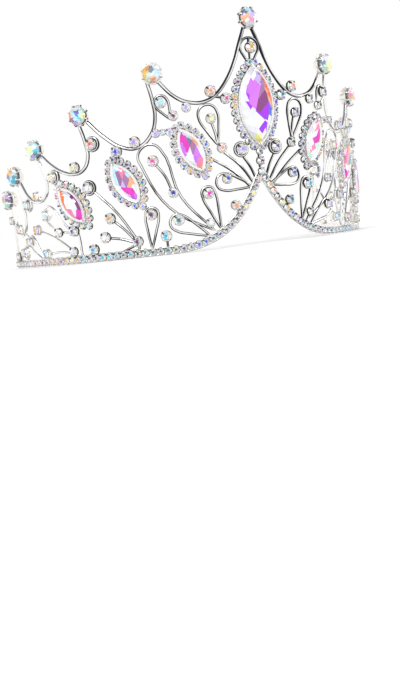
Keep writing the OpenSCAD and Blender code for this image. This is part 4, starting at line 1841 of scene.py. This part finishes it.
@dataclass
class OvalStones:
    """The seven pointed ovals, with sloping crown facets and a table that flashes in blocks."""

    parts: int = 9
    # From the foot up: growth of the outline and height, as shares of the width
    cut: tuple[Point, ...] = ((-0.04, 0.0), (0.0, 0.06), (0.0, 0.09), (-0.1, 0.19), (-0.2, 0.24))
    # Height that the crown facets lie above, as a share of the width
    girdle: float = 0.1
    seed: int = 31

    def _pattern(self, size: OvalSize) -> bpy.types.Object:
        """One stone, with the lower facets scored on its table.

        Args:
            size: The stone's size.

        Returns:
            The stone, with its seat at Z = 0.
        """
        width, parts, half_w, half_l = size.width, self.parts, size.width / 2, size.length / 2
        piece = Bench.stack([
            (size.outline(grow * width, parts), height * width) for grow, height in self.cut
        ])
        Bench.split_facets(piece, width * self.girdle)
        Bench.score_top(piece, [
            ((x0 * half_w, y0 * half_l), ((x1 - x0) * half_w, (y1 - y0) * half_l))
            for x0, y0, x1, y1 in TABLE_LINES
        ])
        return piece

    def build(self, finish: bpy.types.Material, ovals: Ovals) -> None:
        """Builds one piece for each setting.

        Args:
            finish: The crystal.
            ovals: The settings.
        """
        painter = Painter(self.seed)
        patterns = {size: self._pattern(size) for size in (ovals.front, ovals.side)}
        nodes = numbered("oval_stone", len(SIDE_OVALS))
        for node, (seat, size), flashes in zip(nodes, ovals.places(), OVAL_FLASHES):
            stone = Bench.copy(patterns[size], Matrix.Identity(4))
            painter.large(stone, (size.width, size.length), flashes)
            stone.data.transform(seat.raised(ovals.plate / 2 + STONE_GAP).matrix())
            piece = Bench.join([stone], node.replace("oval_stone", "oval_crystal"))
            Bench.hand_over(piece, finish, "oval_crystal", [node])
        Bench.discard(*patterns.values())


@dataclass
class Photographer:
    """The camera, low over the floor, turned as the picture shows the crown."""

    azimuth: float = -25.3
    distance: float = 0.5
    height: float = 0.012
    aim_along: float = -0.0128
    aim_up: float = -0.0428
    roll: float = -6.5
    focal_pixels: float = 1168.0
    sensor: float = 36.0
    nearest: float = 0.01

    def build(self) -> None:
        """Makes the camera and looks through it."""
        turn, roll = math.radians(self.azimuth), math.radians(self.roll)
        place = Vector((math.sin(turn) * self.distance, -math.cos(turn) * self.distance, self.height))
        aim = Vector((self.aim_along * math.cos(turn), self.aim_along * math.sin(turn), self.aim_up))
        ahead = (aim - place).normalized()
        across = ahead.cross(Vector((0, 0, 1))).normalized()
        upwards = across.cross(ahead)
        right = math.cos(roll) * across + math.sin(roll) * upwards
        up = math.cos(roll) * upwards - math.sin(roll) * across
        bpy.ops.object.camera_add()
        camera = bpy.context.object
        camera.matrix_world = Matrix.Translation(place) @ Matrix((right, up, -ahead)).transposed().to_4x4()
        camera.data.sensor_width = self.sensor
        camera.data.lens = self.focal_pixels * self.sensor / IMAGE_HEIGHT
        camera.data.clip_start = self.nearest
        bpy.context.scene.camera = camera


@dataclass(frozen=True)
class FloorPaper:
    """The floor's pale, faintly mottled finish."""

    name: str = "pale_floor"
    tint: Colour = (0.93, 0.93, 0.935)
    # The mottling: brightness of its darker patches as a share of the tint's, and its cells a metre
    mottle: float = 0.985
    grain: float = 60.0
    roughness: float = 0.75
    specular: float = 0.2

    def material(self) -> bpy.types.Material:
        """Builds the material.

        Returns:
            The material.
        """
        sheet = Finish(self.name)
        mottled = tuple(v * self.mottle for v in self.tint)
        grain = sheet.spread(sheet.noise(self.grain, detail=4.0), 0.0, 1.0)
        sheet.set(
            Base_Color=sheet.mix(grain, self.tint, mottled), Roughness=self.roughness,
            Specular_IOR_Level=self.specular)
        return sheet.material


@dataclass
class Studio:
    """A bright tent with a dark hoop that draws the edges of the wires, and a pale floor.

    The hoop stands square to the line from the crown to the camera. It is open at the height of
    the crown, and only reflections show it.
    """

    light: float = 1.0
    white: Colour = (1.0, 1.0, 1.0)
    hoop: Colour = (0.22, 0.22, 0.264)
    hoop_axis: Row = (-0.427, -0.9, 0.05)
    # Where the hoop starts and ends along its axis, from -1 behind the crown to 1, and its soft edge
    hoop_back: float = -0.4
    hoop_front: float = 0.6
    hoop_edge: float = 0.1
    # Heights between which the hoop fades in, as shares of the tent's radius
    hoop_low: float = 0.38
    hoop_high: float = 0.6
    # The lamps: place in metres, side in metres, power in watts, and the height they look at
    lamps: tuple[tuple[Row, float, float], ...] = (
        ((-0.9, -0.8, 1.1), 0.7, 7.0), ((0.9, -0.5, 0.8), 0.5, 3.0),
    )
    lamp_aim: float = 0.04
    # The floor in metres: a disc whose rim curls down
    floor_radius: float = 0.9
    floor_parts: int = 96
    floor_rim: float = 0.02

    def _hoop(self, sheet: NodeSheet, place: bpy.types.NodeSocket) -> bpy.types.NodeSocket:
        """The tent as reflections show it.

        Args:
            sheet: The world's sheet.
            place: Direction from the crown.

        Returns:
            The colour's socket.
        """
        axis = tuple(Vector(self.hoop_axis).normalized())
        facing = sheet.calculate("ShaderNodeVectorMath", "DOT_PRODUCT", place, axis)
        share = sheet.calculate("ShaderNodeMath", "MULTIPLY_ADD", facing, 0.5, 0.5)
        ramp = sheet.add("ShaderNodeValToRGB", Fac=share)
        edges = [
            (self.hoop_back - self.hoop_edge, self.white), (self.hoop_back, self.hoop),
            (self.hoop_front, self.hoop), (self.hoop_front + self.hoop_edge, self.white),
        ]
        stops = ramp.color_ramp.elements
        for position, _ in edges[1:-1]:
            stops.new((position + 1) / 2)
        for stop, (position, colour) in zip(stops, edges):
            stop.position, stop.color = (position + 1) / 2, (*colour, 1.0)
        height = sheet.add("ShaderNodeSeparateXYZ", Vector=place).outputs["Z"]
        height = sheet.calculate("ShaderNodeMath", "ABSOLUTE", height)
        arcs = sheet.span(height, self.hoop_low, self.hoop_high, 0.0, 1.0)
        return sheet.mix(arcs, self.white, ramp.outputs["Color"])

    def tent(self) -> None:
        """Lights the scene evenly, with the dark hoop seen only in reflections."""
        scene = bpy.context.scene
        world = scene.world or bpy.data.worlds.new("tent")
        scene.world = world
        world.use_nodes = True
        world.node_tree.nodes.clear()
        sheet = NodeSheet(world.node_tree)
        hoop = self._hoop(sheet, sheet.add("ShaderNodeTexCoord").outputs["Generated"])
        glossy = sheet.add("ShaderNodeLightPath").outputs["Is Glossy Ray"]
        tint = sheet.mix(glossy, self.white, hoop)
        back = sheet.add("ShaderNodeBackground", Strength=self.light, Color=tint)
        sheet.add("ShaderNodeOutputWorld", Surface=back.outputs["Background"])

    def lamp(self, spot: Row, size: float, power: float) -> None:
        """Adds a square soft lamp that looks at the crown.

        Args:
            spot: Where it stands, in metres.
            size: Its side.
            power: Its power in watts.
        """
        place = Vector(spot)
        Bench.clear()
        bpy.ops.object.light_add(type="AREA", location=place)
        lamp = bpy.context.object
        lamp.data.size = size
        lamp.data.energy = power
        lamp.rotation_euler = (Vector((0, 0, self.lamp_aim)) - place).to_track_quat("-Z", "Y").to_euler()

    def floor(self, finish: bpy.types.Material) -> None:
        """Lays a pale disc under the crown, with its rim curled down.

        Args:
            finish: The floor's finish.
        """
        Bench.clear()
        bpy.ops.mesh.primitive_circle_add(
            vertices=self.floor_parts, radius=self.floor_radius, fill_type="NGON")
        piece = bpy.context.object
        Bench.rim_top(piece, self.floor_rim)
        for vertex in piece.data.vertices:
            if vertex.co.length > self.floor_radius - self.floor_rim / 2:
                vertex.co.z = -self.floor_rim
        piece.name = "floor"
        piece.visible_glossy = False
        piece.data.materials.append(finish)

    def build(self) -> None:
        """Sets the lights and the floor."""
        bpy.context.scene.view_settings.view_transform = "Standard"
        self.tent()
        for spot, size, power in self.lamps:
            self.lamp(spot, size, power)
        self.floor(FloorPaper().material())


def main() -> None:
    """Builds the camera, the crown's sub-assemblies and the studio, in that order."""
    logging.basicConfig(level=logging.INFO, format="%(name)s %(message)s")
    Photographer().build()
    silver = Silver().material()
    # The cups' silver is tinted warm: a painted reflection of the gold in the coated stones
    warm = Silver(
        "warm_silver_cups", bright=(0.985, 0.955, 0.9), dull=(0.9, 0.865, 0.8), film=(0.05, 0.043, 0.034),
        smoothest=0.06, roughest=0.16, mirror=0.78,
    ).material()
    plain = Silver("plain_silver_castings", smoothest=0.16, roughest=0.3, mirror=0.85).material()
    crystal = Crystal().material()
    band, ovals, peak_cups, small_cups = BaseBand(), Ovals(), PeakCups(), SmallCups()
    Wirework().build(silver)
    band.build(plain)
    peak_cups.build(warm)
    ovals.build(plain)
    small_cups.build(warm, band, ovals)
    PeakStones().build(crystal, peak_cups)
    OvalStones().build(crystal, ovals)
    SmallStones().build(crystal, small_cups, band, ovals)
    Studio().build()


if __name__ == "__main__":
    main()
